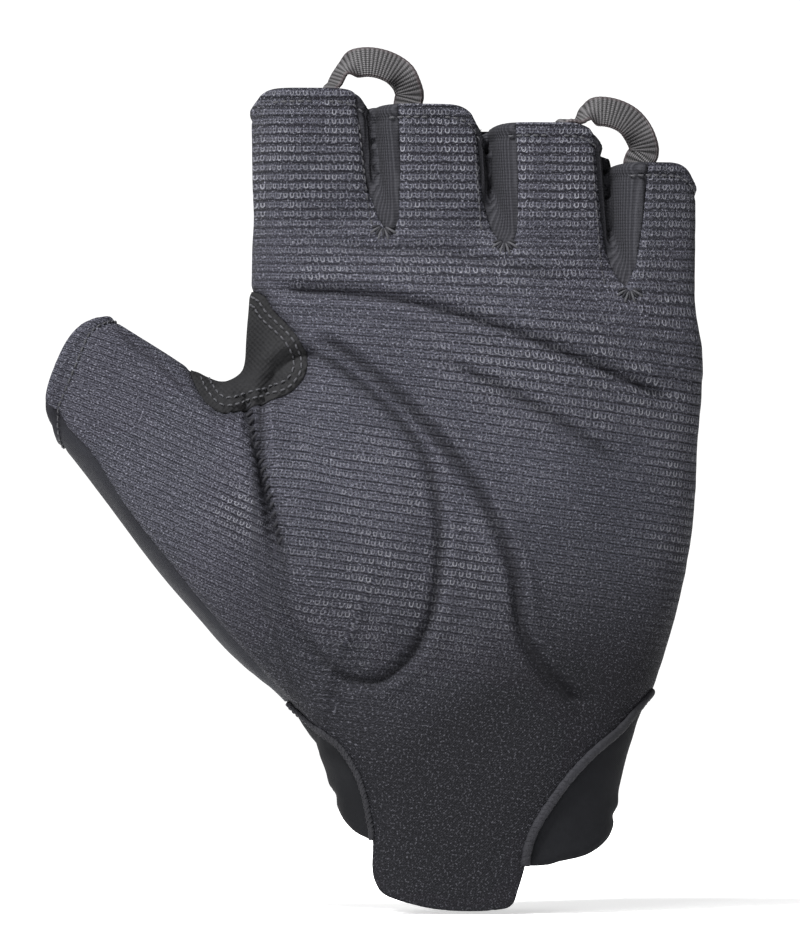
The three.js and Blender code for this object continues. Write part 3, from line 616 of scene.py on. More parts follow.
def panel_of(levels):
    """The panel that each triangle belongs to, or -1 where the glove is open."""
    front = levels[:, FRONT] > 0
    palm = front & (levels[:, PALM] > 0)
    panel = np.select(
        [levels[:, SLOT_A] > 0, levels[:, SLOT_B] > 0, levels[:, SLOT_C] > 0, levels[:, PATCH] > 0,
         palm & (levels[:, STRIP] > 0), palm, front, levels[:, CUFF] > 0, levels[:, THUMB_ZONE] > 0],
        [5, 6, 7, 3, 2, 0, 4, 4, 2],
        1,
    )
    open_end = (levels[:, RIM] > 0) | (~palm & (levels[:, HEM] < 0))
    return np.where(open_end, -1, panel)


def ripple(points, size, seed):
    """Soft unevenness between about -1 and 1."""
    rng = np.random.default_rng(seed)
    total = np.zeros(len(points))
    for _ in range(7):
        way = rng.normal(size=3)
        way /= np.linalg.norm(way)
        total += np.sin(points @ way * 2 * np.pi / (size * rng.uniform(0.7, 1.5)) + rng.uniform(0, 2 * np.pi))
    return total / 3.5


def ends_faded(line, along, fade):
    length = np.linalg.norm(np.diff(line, axis=0), axis=1).sum()
    return smoothstep(along, 0, fade) * smoothstep(length - along, 0, fade)


def fold(flat, crease):
    """A pressed line with a raised lip on both sides."""
    line = curve(crease["line"], 1)
    distance, _, along = to_line(flat, line)
    width = crease["width"]
    lips = FOLD_LIP * bell(distance - 1.9 * width, 1.2 * width)
    return crease["depth"] * ends_faded(line, along, crease["fade"]) * (lips - bell(distance, width))


def crease_shade(points, levels):
    """How dark the painted shade in the pressed folds and along the seams of the palm side is, from 0 to 1.
    """
    flat = points[:, [0, 2]]
    soft_side = smoothstep(flat[:, 0] + 0.35 * (flat[:, 1] - 60), -46, -32)
    marks = [(0.25 + 0.75 * soft_side) * bell(inside(flat, thenar_line), 1.0)]
    for crease in FOLDS:
        line = curve(crease["line"], 1)
        distance, _, along = to_line(flat, line)
        ends = ends_faded(line, along, crease["shade_fade"])
        marks.append(crease["shade"] * ends * bell(distance, crease["shade_width"]))
    distance, _, along = to_line(flat, dart_line)
    marks.append(0.8 * bell(distance, 1.3) * smoothstep(44 - along, 0, 10))
    marks.append(0.6 * bell(inside(flat, patch_line) + 0.5, 1.3))
    front = smoothstep(levels[:, FRONT], 0, 3)
    return np.clip(np.max(marks, axis=0), 0, 1) * front


def relief(points, levels):
    """How far the cloth stands out of the plain skin."""
    flat = points[:, [0, 2]]
    front = smoothstep(levels[:, FRONT], 0, 5)

    # Thenar pad and folds
    thenar = inside(flat, thenar_line)
    soft_side = smoothstep(flat[:, 0] + 0.35 * (flat[:, 1] - 60), -46, -28)
    palm = 1.6 * smoothstep(thenar, 0.3, 9) - (0.35 + 1.35 * soft_side) * bell(thenar, 1.25)
    palm += 0.5 * soft_side * bell(thenar + 2.8, 1.5)
    for crease in FOLDS:
        palm = palm + fold(flat, crease)

    # Gathered dart and the pucker under the patch
    distance, side, along = to_line(flat, dart_line)
    stitched = smoothstep(34 - along, 0, 8)
    palm -= (0.45 + 0.75 * stitched) * bell(distance, 1.0) * smoothstep(47 - along, 0, 8)
    gathers = np.cos(2 * np.pi * along / 2.0 + 0.5 * np.pi * side)
    palm += 0.32 * stitched * gathers * bell(distance - 1.4, 1.7)
    palm += 0.7 * stitched * bell(distance - 3.4, 2.2)
    under_patch = bell(np.hypot(flat[:, 0] + 49, flat[:, 1] - 87.5), 4.5)
    palm -= 0.7 * under_patch * (1 + 0.5 * np.cos(flat[:, 0] * 3.1))
    palm += 0.12 * ripple(points, 14, 3) + 0.05 * ripple(points, 5, 4)
    outer = front * palm + (1 - front) * (0.16 * ripple(points, 18, 5))

    # Seams
    seam_lines = [np.abs(levels[:, k]) for k in (SLOT_A, SLOT_B, SLOT_C, PATCH)]
    seam_lines.append(np.where(levels[:, FRONT] > 0, np.abs(levels[:, STRIP]), 9))
    seam_lines.append(np.where(levels[:, FRONT] < 0, np.abs(levels[:, THUMB_ZONE]), 9))
    seam_lines.append(np.abs(levels[:, FRONT]))
    outer -= 0.45 * np.max([bell(distance, 0.7) for distance in seam_lines], axis=0)

    # Hems of the fingers, the thumb and the cuff
    rim = -levels[:, RIM]
    outer += 0.28 * bell(rim - 1.2, 1.1) - 0.25 * bell(rim - HEM_DEPTH, 0.6) - 0.35 * bell(rim, 0.45)
    not_palm = (levels[:, FRONT] <= 0) | (levels[:, PALM] < 0)
    hem = np.where(not_palm, levels[:, HEM], 9)
    outer += 0.22 * bell(hem - 1.3, 1.2) - 0.3 * bell(hem, 0.5)
    return outer


def course_map(points, levels):
    """Where each point lies in the knit: along the courses and across them, in millimetres."""
    x, _, z = points.T
    _, across, _ = palm_place(points)
    half = np.interp(z, palm_z, palm_half)
    turn = np.linspace(0, np.pi / 2, 200)
    edge = np.stack([np.sin(turn) ** 0.8, 0.3 * (1 - np.cos(turn) ** 0.8)], 1)
    reach = np.r_[0, np.cumsum(np.linalg.norm(np.diff(edge, axis=0), axis=1))]
    share = np.clip(np.abs(across) / half, 0, 1)
    wider = np.sign(across) * half * (np.interp(share, edge[:, 0], reach) - share)
    lean = math.tan(math.radians(8)) * smoothstep(z, 128, 84)
    rows = z + lean * (x + 12)
    distance, side, along = to_line(points[:, [0, 2]], curve(DART + DART_ONWARD))
    soft = 0.8 + 12 * smoothstep(along, 26, 46)
    thumb = smoothstep(np.where(side > 0, -distance, distance), -soft, soft)
    below = smoothstep(z, 14, 34)
    sideways = np.interp(z, dart_line[::-1, 1], dart_line[::-1, 0])
    rows = rows + math.tan(math.radians(19)) * thumb * below * np.minimum(x - sideways, 2)
    columns = x + wider - (lean + 0.36 * thumb * below) * (z - 60)
    return np.stack([columns, rows], 1)


def loops_shown(points):
    """Where the knit's raised loops show, painted light as highlights, from 0 to 1."""
    x, _, z = points.T
    fingers = smoothstep(z, 124, 132)
    band = bell(z - 102 + 0.25 * x, 11) * smoothstep(x, -16, 6)
    below = bell(np.hypot((x + 12) / 1.7, z - 52), 15)
    thumb = bell(np.hypot(x + 48, z - 68), 6)
    edge = smoothstep(x, 30, 42) * smoothstep(z, 30, 60)
    centre = 0.45 * bell(np.hypot((x + 20) / 1.5, z - 74), 16)
    root = 0.6 * bell(z - 119, 5) * smoothstep(x, -44, -36)
    return np.clip(np.max([fingers, band, below, thumb, edge, centre, root], axis=0) + 0.1, 0, 1)


def mesh_piece(name, points, faces, node=None, slot=None, smooth=True):
    """A mesh object from points in millimetres, tied to the frame."""
    faces = np.asarray(faces)
    corners = faces.shape[1]
    mesh = bpy.data.meshes.new(name)
    mesh.vertices.add(len(points))
    mesh.vertices.foreach_set("co", (np.asarray(points) / METRE).ravel())
    mesh.loops.add(faces.size)
    mesh.loops.foreach_set("vertex_index", faces.ravel())
    mesh.polygons.add(len(faces))
    mesh.polygons.foreach_set("loop_start", np.arange(0, faces.size, corners))
    mesh.polygons.foreach_set("use_smooth", np.full(len(faces), smooth))
    mesh.update()
    mesh.validate()
    piece = bpy.data.objects.new(name, mesh)
    bpy.context.scene.collection.objects.link(piece)
    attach(piece, "root")
    if node:
        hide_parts(node)
    return piece


def add_values(piece, faces, flat_map=None, **values):
    """Gives a mesh its knit map and its point values."""
    mesh = piece.data
    if flat_map is not None:
        layer = mesh.uv_layers.new(name="courses")
        layer.uv.foreach_set("vector", flat_map[np.asarray(faces).ravel()].ravel())
    for name, data in values.items():
        mesh.attributes.new(name, "FLOAT", "POINT").data.foreach_set("value", data)


def panel_shell(outer, inner, faces):
    """Closes an outer and an inner skin along their open edges."""
    used, faces = np.unique(faces, return_inverse=True)
    faces = faces.reshape(-1, 3)
    count = len(used)
    edges = edges_of(faces)
    keys = np.sort(edges, axis=1)
    _, first, times = np.unique(keys, axis=0, return_index=True, return_counts=True)
    rim = edges[first[times == 1]]
    a, b = rim.T
    walls = np.vstack([np.stack([b, a, a + count], 1), np.stack([b, a + count, b + count], 1)])
    points = np.vstack([outer[used], inner[used]])
    return points, np.vstack([faces, faces[:, ::-1] + count, walls]), used


# Threads lie on the skin as short bars that dip in at both ends.
BAR = np.array([[0, -0.7], [0.12, 0.25], [0.35, 0.9], [0.65, 0.9], [0.88, 0.25], [1, -0.7]])


def bars(starts, ends, normals, radius, sides=6):
    """Points and triangles of one small thread bar for each start and end."""
    way = ends - starts
    way /= np.maximum(np.linalg.norm(way, axis=1), 1e-6)[:, None]
    beside = np.cross(way, normals)
    beside /= np.maximum(np.linalg.norm(beside, axis=1), 1e-6)[:, None]
    up = np.cross(beside, way)
    rings = []
    for share, lift in BAR:
        middle = starts + share * (ends - starts) + lift * radius * up
        size = radius * (0.7 if share in (0, 1) else 1)
        for k in range(sides):
            angle = 2 * np.pi * k / sides
            rings.append(middle + size * (math.cos(angle) * beside + math.sin(angle) * up))
    points = np.stack(rings, 1)
    per = points.shape[1]
    faces = []
    for r in range(len(BAR) - 1):
        for k in range(sides):
            a, b = r * sides + k, r * sides + (k + 1) % sides
            faces += [(a, a + sides, b), (b, a + sides, b + sides)]
    last = (len(BAR) - 1) * sides
    for k in range(1, sides - 1):
        faces += [(0, k, k + 1), (last, last + k + 1, last + k)]
    faces = np.array(faces)
    every = faces[None] + per * np.arange(len(points))[:, None, None]
    return points.reshape(-1, 3), every.reshape(-1, 3)


def merged(parts):
    points, faces, start = [], [], 0
    for part_points, part_faces in parts:
        points.append(part_points)
        faces.append(part_faces + start)
        start += len(part_points)
    return np.vstack(points), np.vstack(faces)


# The skin, cut along its seams
low = np.array([-92.0, -24.5, -15.5])
high = np.array([50.0, 23.5, 158.0])
skin, skin_faces = skin_of(glove_field, low, high, CELL)
skin, normals = settled(glove_field, skin, skin_faces)
print("skin", len(skin), "points", len(skin_faces), "triangles")
extra = np.hstack([normals, seams_of(skin)])
for column in range(11):
    skin, skin_faces, extra = split(skin, skin_faces, extra, extra[:, 3 + column])
normals = extra[:, :3] / np.linalg.norm(extra[:, :3], axis=1)[:, None]
levels = extra[:, 3:]
panel = panel_of(levels[skin_faces].mean(1))
print("panels", {name: int((panel == k).sum()) for k, name in enumerate(PANELS)})
outer_skin = skin + normals * relief(skin, levels)[:, None]
inner_skin = outer_skin - normals * CLOTH
knit_map = course_map(skin, levels)
loops_and_highlights = loops_shown(skin)
# Painted shade: the knit is painted darker towards the heel and towards the right side, where the key light
# falls less
heel = smoothstep(-skin[:, 2], -82, -12) + 0.3 * smoothstep(skin[:, 0] - 0.3 * skin[:, 2], -26, 8)
heel = np.clip(heel, 0, 1)
# Painted shade in the pressed folds and along the seams of the palm side
creases = crease_shade(skin, levels)

kept = panel >= 0
surface = BVHTree.FromPolygons(outer_skin.tolist(), skin_faces[kept].tolist())

PANEL_SLOTS = ["knit", "smooth_cloth", "smooth_cloth", "suede", "smooth_cloth", "ribbed_knit", "ribbed_knit",
               "ribbed_knit"]
PANEL_LIFT = [0, -0.05, -0.1, 0.35, -0.45, -0.3, -0.3, -0.3]
panels = {}
for k, name in enumerate(PANELS):
    faces = skin_faces[panel == k]
    lift = PANEL_LIFT[k] * normals
    shell, shell_faces, used = panel_shell(outer_skin + lift, inner_skin + lift, faces)
    piece = mesh_piece(name + "_cloth", shell, shell_faces, node=name, slot=PANEL_SLOTS[k])
    twice = np.r_[used, used]
    add_values(piece, shell_faces, knit_map[twice], loops=loops_and_highlights[twice], heel=heel[twice],
               creases=creases[twice])
    panels[name] = piece


def on_skin(rays, lift=0.0, from_inside=False):
    """Runs of places where rays meet the skin, with its way out there, broken where it jumps."""
    runs, run = [], []
    for origin, way in rays:
        place, normal, _, _ = surface.ray_cast(Vector(origin), Vector(way))
        place, normal = (None, None) if place is None else (np.array(place), np.array(normal))
        if run and (place is None or np.linalg.norm(place - run[-1][0]) > RUN_BREAK):
            runs.append(run)
            run = []
        if place is not None:
            if np.dot(normal, way) > 0 and not from_inside:
                normal = -normal
            run.append((place + lift * normal, normal))
    if run:
        runs.append(run)
    return [(np.array([p for p, _ in r]), np.array([n for _, n in r])) for r in runs if len(r) > 3]


def on_front(flat, lift=0.0):
    """Runs of places on the palm side under a line."""
    return on_skin([((x, -60.0, z), (0, 1, 0)) for x, z in flat], lift)


def on_back(flat, lift=0.0):
    return on_skin([((x, 60.0, z), (0, -1, 0)) for x, z in flat], lift)


def stitches_along(runs, length, pitch, radius, side=0.0):
    """Thread bars along runs of places on the skin."""
    parts = []
    for places, ways in runs:
        lengths = np.r_[0, np.cumsum(np.linalg.norm(np.diff(places, axis=0), axis=1))]
        starts = np.arange(0, lengths[-1] - length, pitch)
        if not len(starts):
            continue

        def at(where, values):
            return np.stack([np.interp(where, lengths, values[:, k]) for k in range(3)], 1)

        first, last = at(starts, places), at(starts + length, places)
        normal = at(starts + length / 2, ways)
        beside = np.cross(last - first, normal)
        beside /= np.maximum(np.linalg.norm(beside, axis=1), 1e-6)[:, None]
        parts.append(bars(first - side * beside, last + side * beside, normal, radius))
    return parts


def inset(line, amount):
    """A closed line moved inwards."""
    way = np.roll(line, -2, 0) - np.roll(line, 2, 0)
    way /= np.linalg.norm(way, axis=1)[:, None]
    normal = np.stack([-way[:, 1], way[:, 0]], 1)
    area = np.sum(line[:, 0] * np.roll(line[:, 1], -1) - np.roll(line[:, 0], -1) * line[:, 1])
    return line + np.sign(area) * amount * normal


def finger_middle(finger, share):
    """Middle of a finger at a share of its length, and the ways across and deep in it."""
    yaw = math.radians(finger["yaw"])
    x = finger["x"] + finger["lean"] * (1 - share)
    y = finger["back"] * (ROOT_BACK + (1 - ROOT_BACK) * share)
    across = np.array([math.cos(yaw), math.sin(yaw), 0])
    return x, y, across, np.array([-across[1], across[0], 0])


def rounded(value, squareness):
    return math.copysign(abs(value) ** (2 / squareness), value)


def finger_ring(finger, below, count=150):
    """Rays from a finger's middle to its front and back walls, at a place below its rim."""
    share = (finger["rim"] - below - TUBE_START) / (finger["rim"] - TUBE_START)
    x, y, u, v = finger_middle(finger, share)
    width, depth = finger["width"] / 2, finger["depth"] / 2
    rays = []
    for k in range(count + 1):
        cosine, sine = math.cos(2 * np.pi * k / count), math.sin(2 * np.pi * k / count)
        if abs(cosine) > HEM_REACH:
            rays.append(((x, y, 400.0), (0, 0, 1)))
            continue
        a = rounded(cosine, FINGER_SQUARENESS) * width
        b = rounded(sine, FINGER_SQUARENESS) * depth
        way = a * u + b * v
        z = finger["rim"] - below - float(rim_drop(finger, a, b, width, depth))
        rays.append(((x, y, z), way / np.linalg.norm(way)))
    return rays


def thumb_ring(below, count=150):
    """Rays from the thumb's middle out to its wall, at a place before its mouth."""
    rays = []
    for k in range(count + 1):
        angle = 2 * np.pi * k / count
        side = rounded(math.cos(angle), PALM_SQUARENESS)
        share = min(1 - (below - float(thumb_mouth(side))) / THUMB_LENGTH, 1)
        half, depth, x, z, way_x, way_z = (
            np.interp(share, thumb_along, values)
            for values in (thumb_half, thumb_depth, *thumb_middle.T, *thumb_way.T)
        )
        out = np.array([math.cos(angle) * half * way_x, math.sin(angle) * depth,
                        math.cos(angle) * half * way_z])
        rays.append(((x, THUMB_ROOT[1] - THUMB_FORWARD * share, z), out / np.linalg.norm(out)))
    return rays


def finger_side(finger, inset_by, low_z, high_z):
    """Rays to a finger's palm side along its length, inside its right edge."""
    rays = []
    for z in np.linspace(low_z, high_z, 60):
        share = (z - TUBE_START) / (finger["rim"] - TUBE_START)
        x, y, u, v = finger_middle(finger, share)
        half = finger["width"] * (finger["root"] + (1 - finger["root"]) * share) / 2
        rays.append((np.array([x, y, z]) + (half - inset_by) * u - 15 * v, v))
    return rays


# Stitches: length, pitch and radius of each kind
HEM_STITCH = (1.25, 1.75, 0.2)
SIDE_STITCH = (1.2, 1.8, 0.17)
PATCH_STITCH = (1.2, 1.75, 0.2)
DART_STITCH = (1.5, 1.9, 0.3)
SIDE_STITCH_INSET = 3.9
SIDE_STITCH_HEIGHTS = [(128, 149), (127, 146), (116, 143)]
PATCH_STITCH_INSETS = (1.1, 2.5)
DART_SLANT = 0.95
TACK_RADIUS = 0.28

light_threads, dark_threads = [], []
for finger in FINGERS:
    light_threads += stitches_along(on_skin(finger_ring(finger, HEM_DEPTH), 0.05, True), *HEM_STITCH)
light_threads += stitches_along(on_skin(thumb_ring(HEM_DEPTH), 0.05, True), *HEM_STITCH)
for finger, heights in zip(FINGERS, SIDE_STITCH_HEIGHTS):
    light_threads += stitches_along(on_skin(finger_side(finger, SIDE_STITCH_INSET, *heights)), *SIDE_STITCH)
for amount in PATCH_STITCH_INSETS:
    ring = inset(patch_line, amount)
    ring = np.vstack([ring, ring[:1]])
    for laid in (on_front, on_back):
        light_threads += stitches_along(laid(ring, 0.4), *PATCH_STITCH)
for x, z in BAR_TACKS:
    for k in range(9):
        turn = math.radians(20 * k - 80)
        spoke = np.linspace(0.5, 2.5 + 0.6 * (k % 2), 5)
        flat = [(x + reach * math.sin(turn), z + 1.2 - reach * math.cos(turn)) for reach in spoke]
        for places, ways in on_front(flat):
            tack = bars(places[:1], places[-1:], ways[1:2], TACK_RADIUS)
            (light_threads if k % 2 else dark_threads).append(tack)
dark_threads += stitches_along(on_front(curve(DART, 0.4)[2:78]), *DART_STITCH, side=DART_SLANT)
threads = mesh_piece("stitches", *merged(light_threads), slot="thread")
dart = mesh_piece("dart_stitches", *merged(dark_threads), slot="thread")


def tube_faces(rows, sides):
    """Triangles of a closed tube of rings, with both ends covered."""
    faces = []
    for row in range(rows - 1):
        for k in range(sides):
            a, b = row * sides + k, row * sides + (k + 1) % sides
            faces += [(a, b, a + sides), (b, b + sides, a + sides)]
    end = (rows - 1) * sides
    for k in range(1, sides - 1):
        faces += [(0, k + 1, k), (end, end + k, end + k + 1)]
    return np.array(faces)


def unit(ways):
    return ways / np.linalg.norm(ways, axis=1)[:, None]


def square_to(ways, along):
    """Ways turned square to the ways along a line."""
    return unit(ways - (ways * along).sum(1)[:, None] * along)


# Bindings
ROLL_SIDES = 14
ROLL_LIFT = 0.1
OVERLOCK_RADIUS = 0.19


def binding(name, line, node, width, height):
    """An overlocked edge: a roll along a line on the palm, with slanting threads over it."""
    parts = []
    for places, ways in on_front(line, 0.1):
        along = unit(np.gradient(places, axis=0))
        padded = np.pad(ways, ((4, 4), (0, 0)), mode="edge")
        evener = np.ones(9) / 9
        up = square_to(np.stack([np.convolve(column, evener, "valid") for column in padded.T], 1), along)
        beside = np.cross(along, up)
        swell = 1 + 0.05 * np.sin(np.arange(len(places)) * 1.1)
        rings = []
        for a in np.linspace(0, 2 * np.pi, ROLL_SIDES, endpoint=False):
            out = math.cos(a) * width / 2 * beside + (math.sin(a) * height + ROLL_LIFT) * up
            rings.append(places + swell[:, None] * out)
        parts.append((np.stack(rings, 1).reshape(-1, 3), tube_faces(len(places), ROLL_SIDES)))
        first = places[:-3:2] - 0.5 * width * beside[:-3:2]
        last = places[3::2] + 0.5 * width * beside[3::2]
        total = min(len(first), len(last))
        first, last, upward_ways = first[:total], last[:total], up[:-3:2][:total]
        lifted = (height + 0.02) * upward_ways
        middle = 0.5 * (first + last) + lifted
        parts.append(bars(first + 0.2 * lifted, middle, upward_ways, OVERLOCK_RADIUS))
        parts.append(bars(middle, last + 0.2 * lifted, upward_ways, OVERLOCK_RADIUS))
    return mesh_piece(name, *merged(parts), node=node, slot="thread")


binding_right = binding("binding_right", right_line, "cuff_binding_right", 1.9, 0.75)
binding_left = binding("binding_left", left_line, "cuff_binding_left", 1.3, 0.55)


# Pull loops of ribbed webbing: which finger they start from, their feet as shares of the finger's
# width, and the arch's middle line across and up
PULL_LOOPS = [
    ("pull_loop_index_middle", 0, (0.31, -0.06),
     [(-28.6, 157.2), (-26.6, 160.3), (-22.6, 161.6), (-18.4, 161.0), (-15.0, 158.9), (-13.3, 155.4)]),
    ("pull_loop_ring_little", 2, (0.34, 0.02),
     [(21.4, 149.6), (23.4, 151.2), (26.4, 151.6), (29.6, 150.9), (32.3, 149.2), (34.3, 146.2),
      (35.0, 143.3)]),
]
FOOT_TURN = math.radians(42)
FOOT_SQUARENESS = 3.2
FOOT_INSET = 1.4


def foot_seat(finger, share):
    """Where a foot lies against the inside of a finger's back cloth, and the way of its width."""
    _, _, u, v = finger_middle(finger, 1)
    half = finger["width"] / 2 - FOOT_INSET
    rim_middle = np.array([finger["x"], finger["back"], finger["rim"]])

    def corner(side):
        across = share * finger["width"] + side * WEBBING_WIDTH / 2
        bow = (1 - min(abs(across) / half, 0.97) ** FOOT_SQUARENESS) ** (1 / FOOT_SQUARENESS)
        room = (finger["depth"] / 2 - FOOT_INSET) * bow
        return rim_middle + across * u + (room - FOOT_INSET / 2) * v

    near, far = corner(-0.7), corner(0.7)
    way = (far - near) / np.linalg.norm(far - near)
    inward = np.array([way[1], -way[0], 0])
    seat = (near + far) / 2 + inward * (WEBBING_THICKNESS + WEBBING_WIDTH * math.sin(FOOT_TURN)) / 2
    return seat, math.cos(FOOT_TURN) * way + math.sin(FOOT_TURN) * inward


def pull_loop(name, first, feet, arch):
    """A band of webbing from the inside of one finger's back to the next finger's."""
    start, start_way = foot_seat(FINGERS[first], feet[0])
    end, end_way = foot_seat(FINGERS[first + 1], feet[1])
    down = np.array([0, 0, -FOOT_DEPTH])
    depths = start[1] + (end[1] - start[1]) * np.arange(1, len(arch) + 1) / (len(arch) + 1)
    bends = [np.array([x, y, z]) for (x, z), y in zip(arch, depths)]
    path = curve([start + down, start, *bends, end, end + down], WEBBING_RIB / 7)
    along = unit(np.gradient(path, axis=0))
    share = np.linspace(0, 1, len(path))
    lean = WEBBING_LEAN * np.sin(np.pi * share)
    flat = unit(np.stack([-along[:, 2], np.zeros(len(path)), along[:, 0]], 1))
    width_way = flat * np.cos(lean)[:, None]
    width_way[:, 1] = np.sin(lean)
    seat = np.where((share < 0.5)[:, None], -start_way, end_way)
    held = smoothstep(np.abs(share - 0.5), 0.1, 0.24)[:, None]
    width_way = square_to(width_way * (1 - held) + seat * held, along)
    through = np.cross(along, width_way)
    length = share * np.linalg.norm(np.diff(path, axis=0), axis=1).sum()
    rib = 0.5 + 0.5 * np.cos(2 * np.pi * length / WEBBING_RIB)
    section = [(side * a * WEBBING_WIDTH / 2, side, 1 - abs(a) ** 12)
               for side in (1, -1) for a in np.linspace(-1, 1, 15)]
    rings = []
    for across, side, full in section:
        thick = side * (0.3 + full * (0.16 + 0.09 * rib))
        wide = across * (1 + 0.012 * (rib - 0.5))
        rings.append(path + wide[:, None] * width_way + thick[:, None] * through)
    points, faces = np.stack(rings, 1).reshape(-1, 3), tube_faces(len(path), len(section))
    piece = mesh_piece(name + "_webbing", points, faces, node=name, slot="webbing")
    flat_map = np.stack([np.tile([row[0] for row in section], len(path)), np.repeat(length, len(section))], 1)
    add_values(piece, faces, flat_map)
    return piece


webbings = [pull_loop(*row) for row in PULL_LOOPS]


# Materials
class Looks:
    """A node material with short names for its nodes."""

    def __init__(self, name):
        self.material = bpy.data.materials.new(name)
        self.material.use_nodes = True
        self.tree = self.material.node_tree
        self.shader = self.tree.nodes["Principled BSDF"]

    def put(self, socket, value):
        if isinstance(value, bpy.types.NodeSocket):
            self.tree.links.new(value, socket)
        elif socket.type == "RGBA":
            socket.default_value = (*value[:3], 1)
        else:
            socket.default_value = value

    def node(self, kind, settings=None, **inputs):
        """A node with its settings and its inputs, which are named, or i0, i1 and so on."""
        made = self.tree.nodes.new(kind)
        for key, value in (settings or {}).items():
            setattr(made, key, value)
        for key, value in inputs.items():
            self.put(made.inputs[int(key[1:]) if key[1:].isdigit() else key], value)
        return made

    def math(self, operation, *values):
        made = self.node("ShaderNodeMath", {"operation": operation})
        for socket, value in zip(made.inputs, values):
            self.put(socket, value)
        return made.outputs[0]

    def times(self, a, b):
        return self.math("MULTIPLY", a, b)

    def plus(self, a, b):
        return self.math("ADD", a, b)

    def wave(self, value, pitch):
        return self.math("SINE", self.times(value, 2 * math.pi / pitch))

    def ramp(self, value, low, high, start=0.0, end=1.0):
        return self.node("ShaderNodeMapRange", {"interpolation_type": "SMOOTHSTEP"}, i0=value, i1=low,
                         i2=high, i3=start, i4=end).outputs[0]

    def noise(self, place, scale, detail=2.0, rough=0.5):
        return self.node("ShaderNodeTexNoise", None, Vector=place, Scale=scale, Detail=detail,
                         Roughness=rough).outputs["Fac"]

    def blend(self, share, a, b):
        return self.node("ShaderNodeMix", {"data_type": "RGBA"}, i0=share, i6=a, i7=b).outputs[2]

    def bump(self, height, depth):
        return self.node("ShaderNodeBump", None, Strength=1.0, Distance=depth, Height=height).outputs[0]

    def value(self, name):
        return self.node("ShaderNodeAttribute", {"attribute_name": name}).outputs["Fac"]

    def courses(self):
        return self.node("ShaderNodeUVMap", {"uv_map": "courses"}).outputs[0]

    def place(self):
        return self.node("ShaderNodeTexCoord").outputs["Object"]

    def axes(self, vector):
        return self.node("ShaderNodeSeparateXYZ", None, i0=vector).outputs

    def finish(self, *pieces, **inputs):
        for key, value in inputs.items():
            self.put(self.shader.inputs[key.replace("_", " ")], value)
        for piece in pieces:
            piece.data.materials.clear()
            piece.data.materials.append(self.material)


LOOP_RADIUS = 0.37


def knit_look():
    """Courses with painted shade in the gaps between them, and small raised loops in the courses with painted
    highlights.
    """
    look = Looks("loop_knit")
    courses = look.courses()
    along, up, _ = look.axes(courses)

    # Loops: an arch in each stitch, open at its top
    wobble = look.times(look.math("SUBTRACT", look.noise(courses, 0.25), 0.5), 0.5)
    row = look.math("DIVIDE", look.plus(up, wobble), COURSE)
    column = look.math("DIVIDE", look.plus(along, wobble), WALE)
    in_row = look.math("SUBTRACT", look.math("FRACT", row), 0.5)
    in_column = look.math("SUBTRACT", look.math("FRACT", column), 0.5)
    y = look.times(in_row, COURSE)
    x = look.times(in_column, WALE)
    low = look.math("MINIMUM", look.plus(y, 0.12), 0.0)
    arm = look.math("SQRT", look.plus(look.times(x, x), look.times(low, low)))
    from_loop = look.math("ABSOLUTE", look.math("SUBTRACT", arm, LOOP_RADIUS))
    cell = [look.math("FLOOR", part) for part in (column, row)]
    stitch = look.node("ShaderNodeCombineXYZ", None, i0=cell[0], i1=cell[1]).outputs[0]
    each = look.node("ShaderNodeTexWhiteNoise", {"noise_dimensions": "2D"}, i0=stitch).outputs[0]
    shown = look.value("loops")
    patchy = look.ramp(look.noise(courses, 0.11, 3.0), 0.35, 0.6, 0.25, 1.0)
    loops = look.times(look.ramp(from_loop, 0.2, 0.05), look.ramp(y, 0.5, 0.3))
    loops = look.times(loops, look.ramp(each, 0.0, 1.0, 0.35, 1.0))
    loops = look.times(loops, look.times(shown, patchy))

    # Gaps between the courses with their painted shade, the grain of the yarn, and painted glints
    heel = look.value("heel")
    seen_gap = look.math("MULTIPLY_ADD", shown, 0.45, 0.5)
    lined = look.times(seen_gap, look.math("MULTIPLY_ADD", heel, -0.85, 1.0))
    gap = look.times(look.ramp(look.math("ABSOLUTE", in_row), 0.36, 0.47), lined)
    fine_row = look.wave(up, 0.63)
    weave = look.times(fine_row, look.wave(along, 0.52))
    grain = look.noise(courses, 2.6, 3.0, 0.65)
    painted_glints = look.ramp(look.noise(courses, 2.2, 2.0, 0.7), 0.54, 0.7)
    broad = look.noise(courses, 0.035, 3.0)

    # Colour
    colour = look.blend(look.ramp(broad, 0.3, 0.7), (0.0195, 0.0197, 0.0262), (0.027, 0.0272, 0.0355))
    # Painted shade: the gaps between the courses are painted nearly black
    colour = look.blend(gap, colour, (0.003, 0.003, 0.0045))
    fine = look.ramp(look.plus(grain, look.times(fine_row, 0.08)), 0.38, 0.62)
    colour = look.blend(fine, (0.0035, 0.0035, 0.005), colour)
    # Painted highlights: small light specks as glints on the yarn
    colour = look.blend(look.times(painted_glints, 0.7), colour, (0.105, 0.105, 0.125))
    # Painted highlight: the raised loops are painted light, as if they caught the light
    colour = look.blend(look.times(loops, 0.8), colour, (0.12, 0.121, 0.135))
    # Painted shade: towards the heel and the right side the knit turns darker, with dimmer painted glints
    heel_colour = look.blend(look.times(painted_glints, 0.6), (0.001, 0.001, 0.0015), (0.032, 0.032, 0.037))
    colour = look.blend(look.times(heel, 0.93), colour, heel_colour)
    # Painted shade in the pressed folds and along the seams
    colour = look.blend(look.times(look.value("creases"), 0.62), colour, (0.002, 0.002, 0.0026))

    height = look.plus(look.times(loops, 0.9), look.times(gap, -1.0))
    height = look.plus(height, look.times(weave, 0.12))
    height = look.plus(height, look.times(grain, 0.7))
    look.finish(panels["palm_panel"], Base_Color=colour, Roughness=look.ramp(loops, 0.0, 1.0, 0.82, 0.42),
                Normal=look.bump(height, 0.00035), Specular_IOR_Level=0.08)


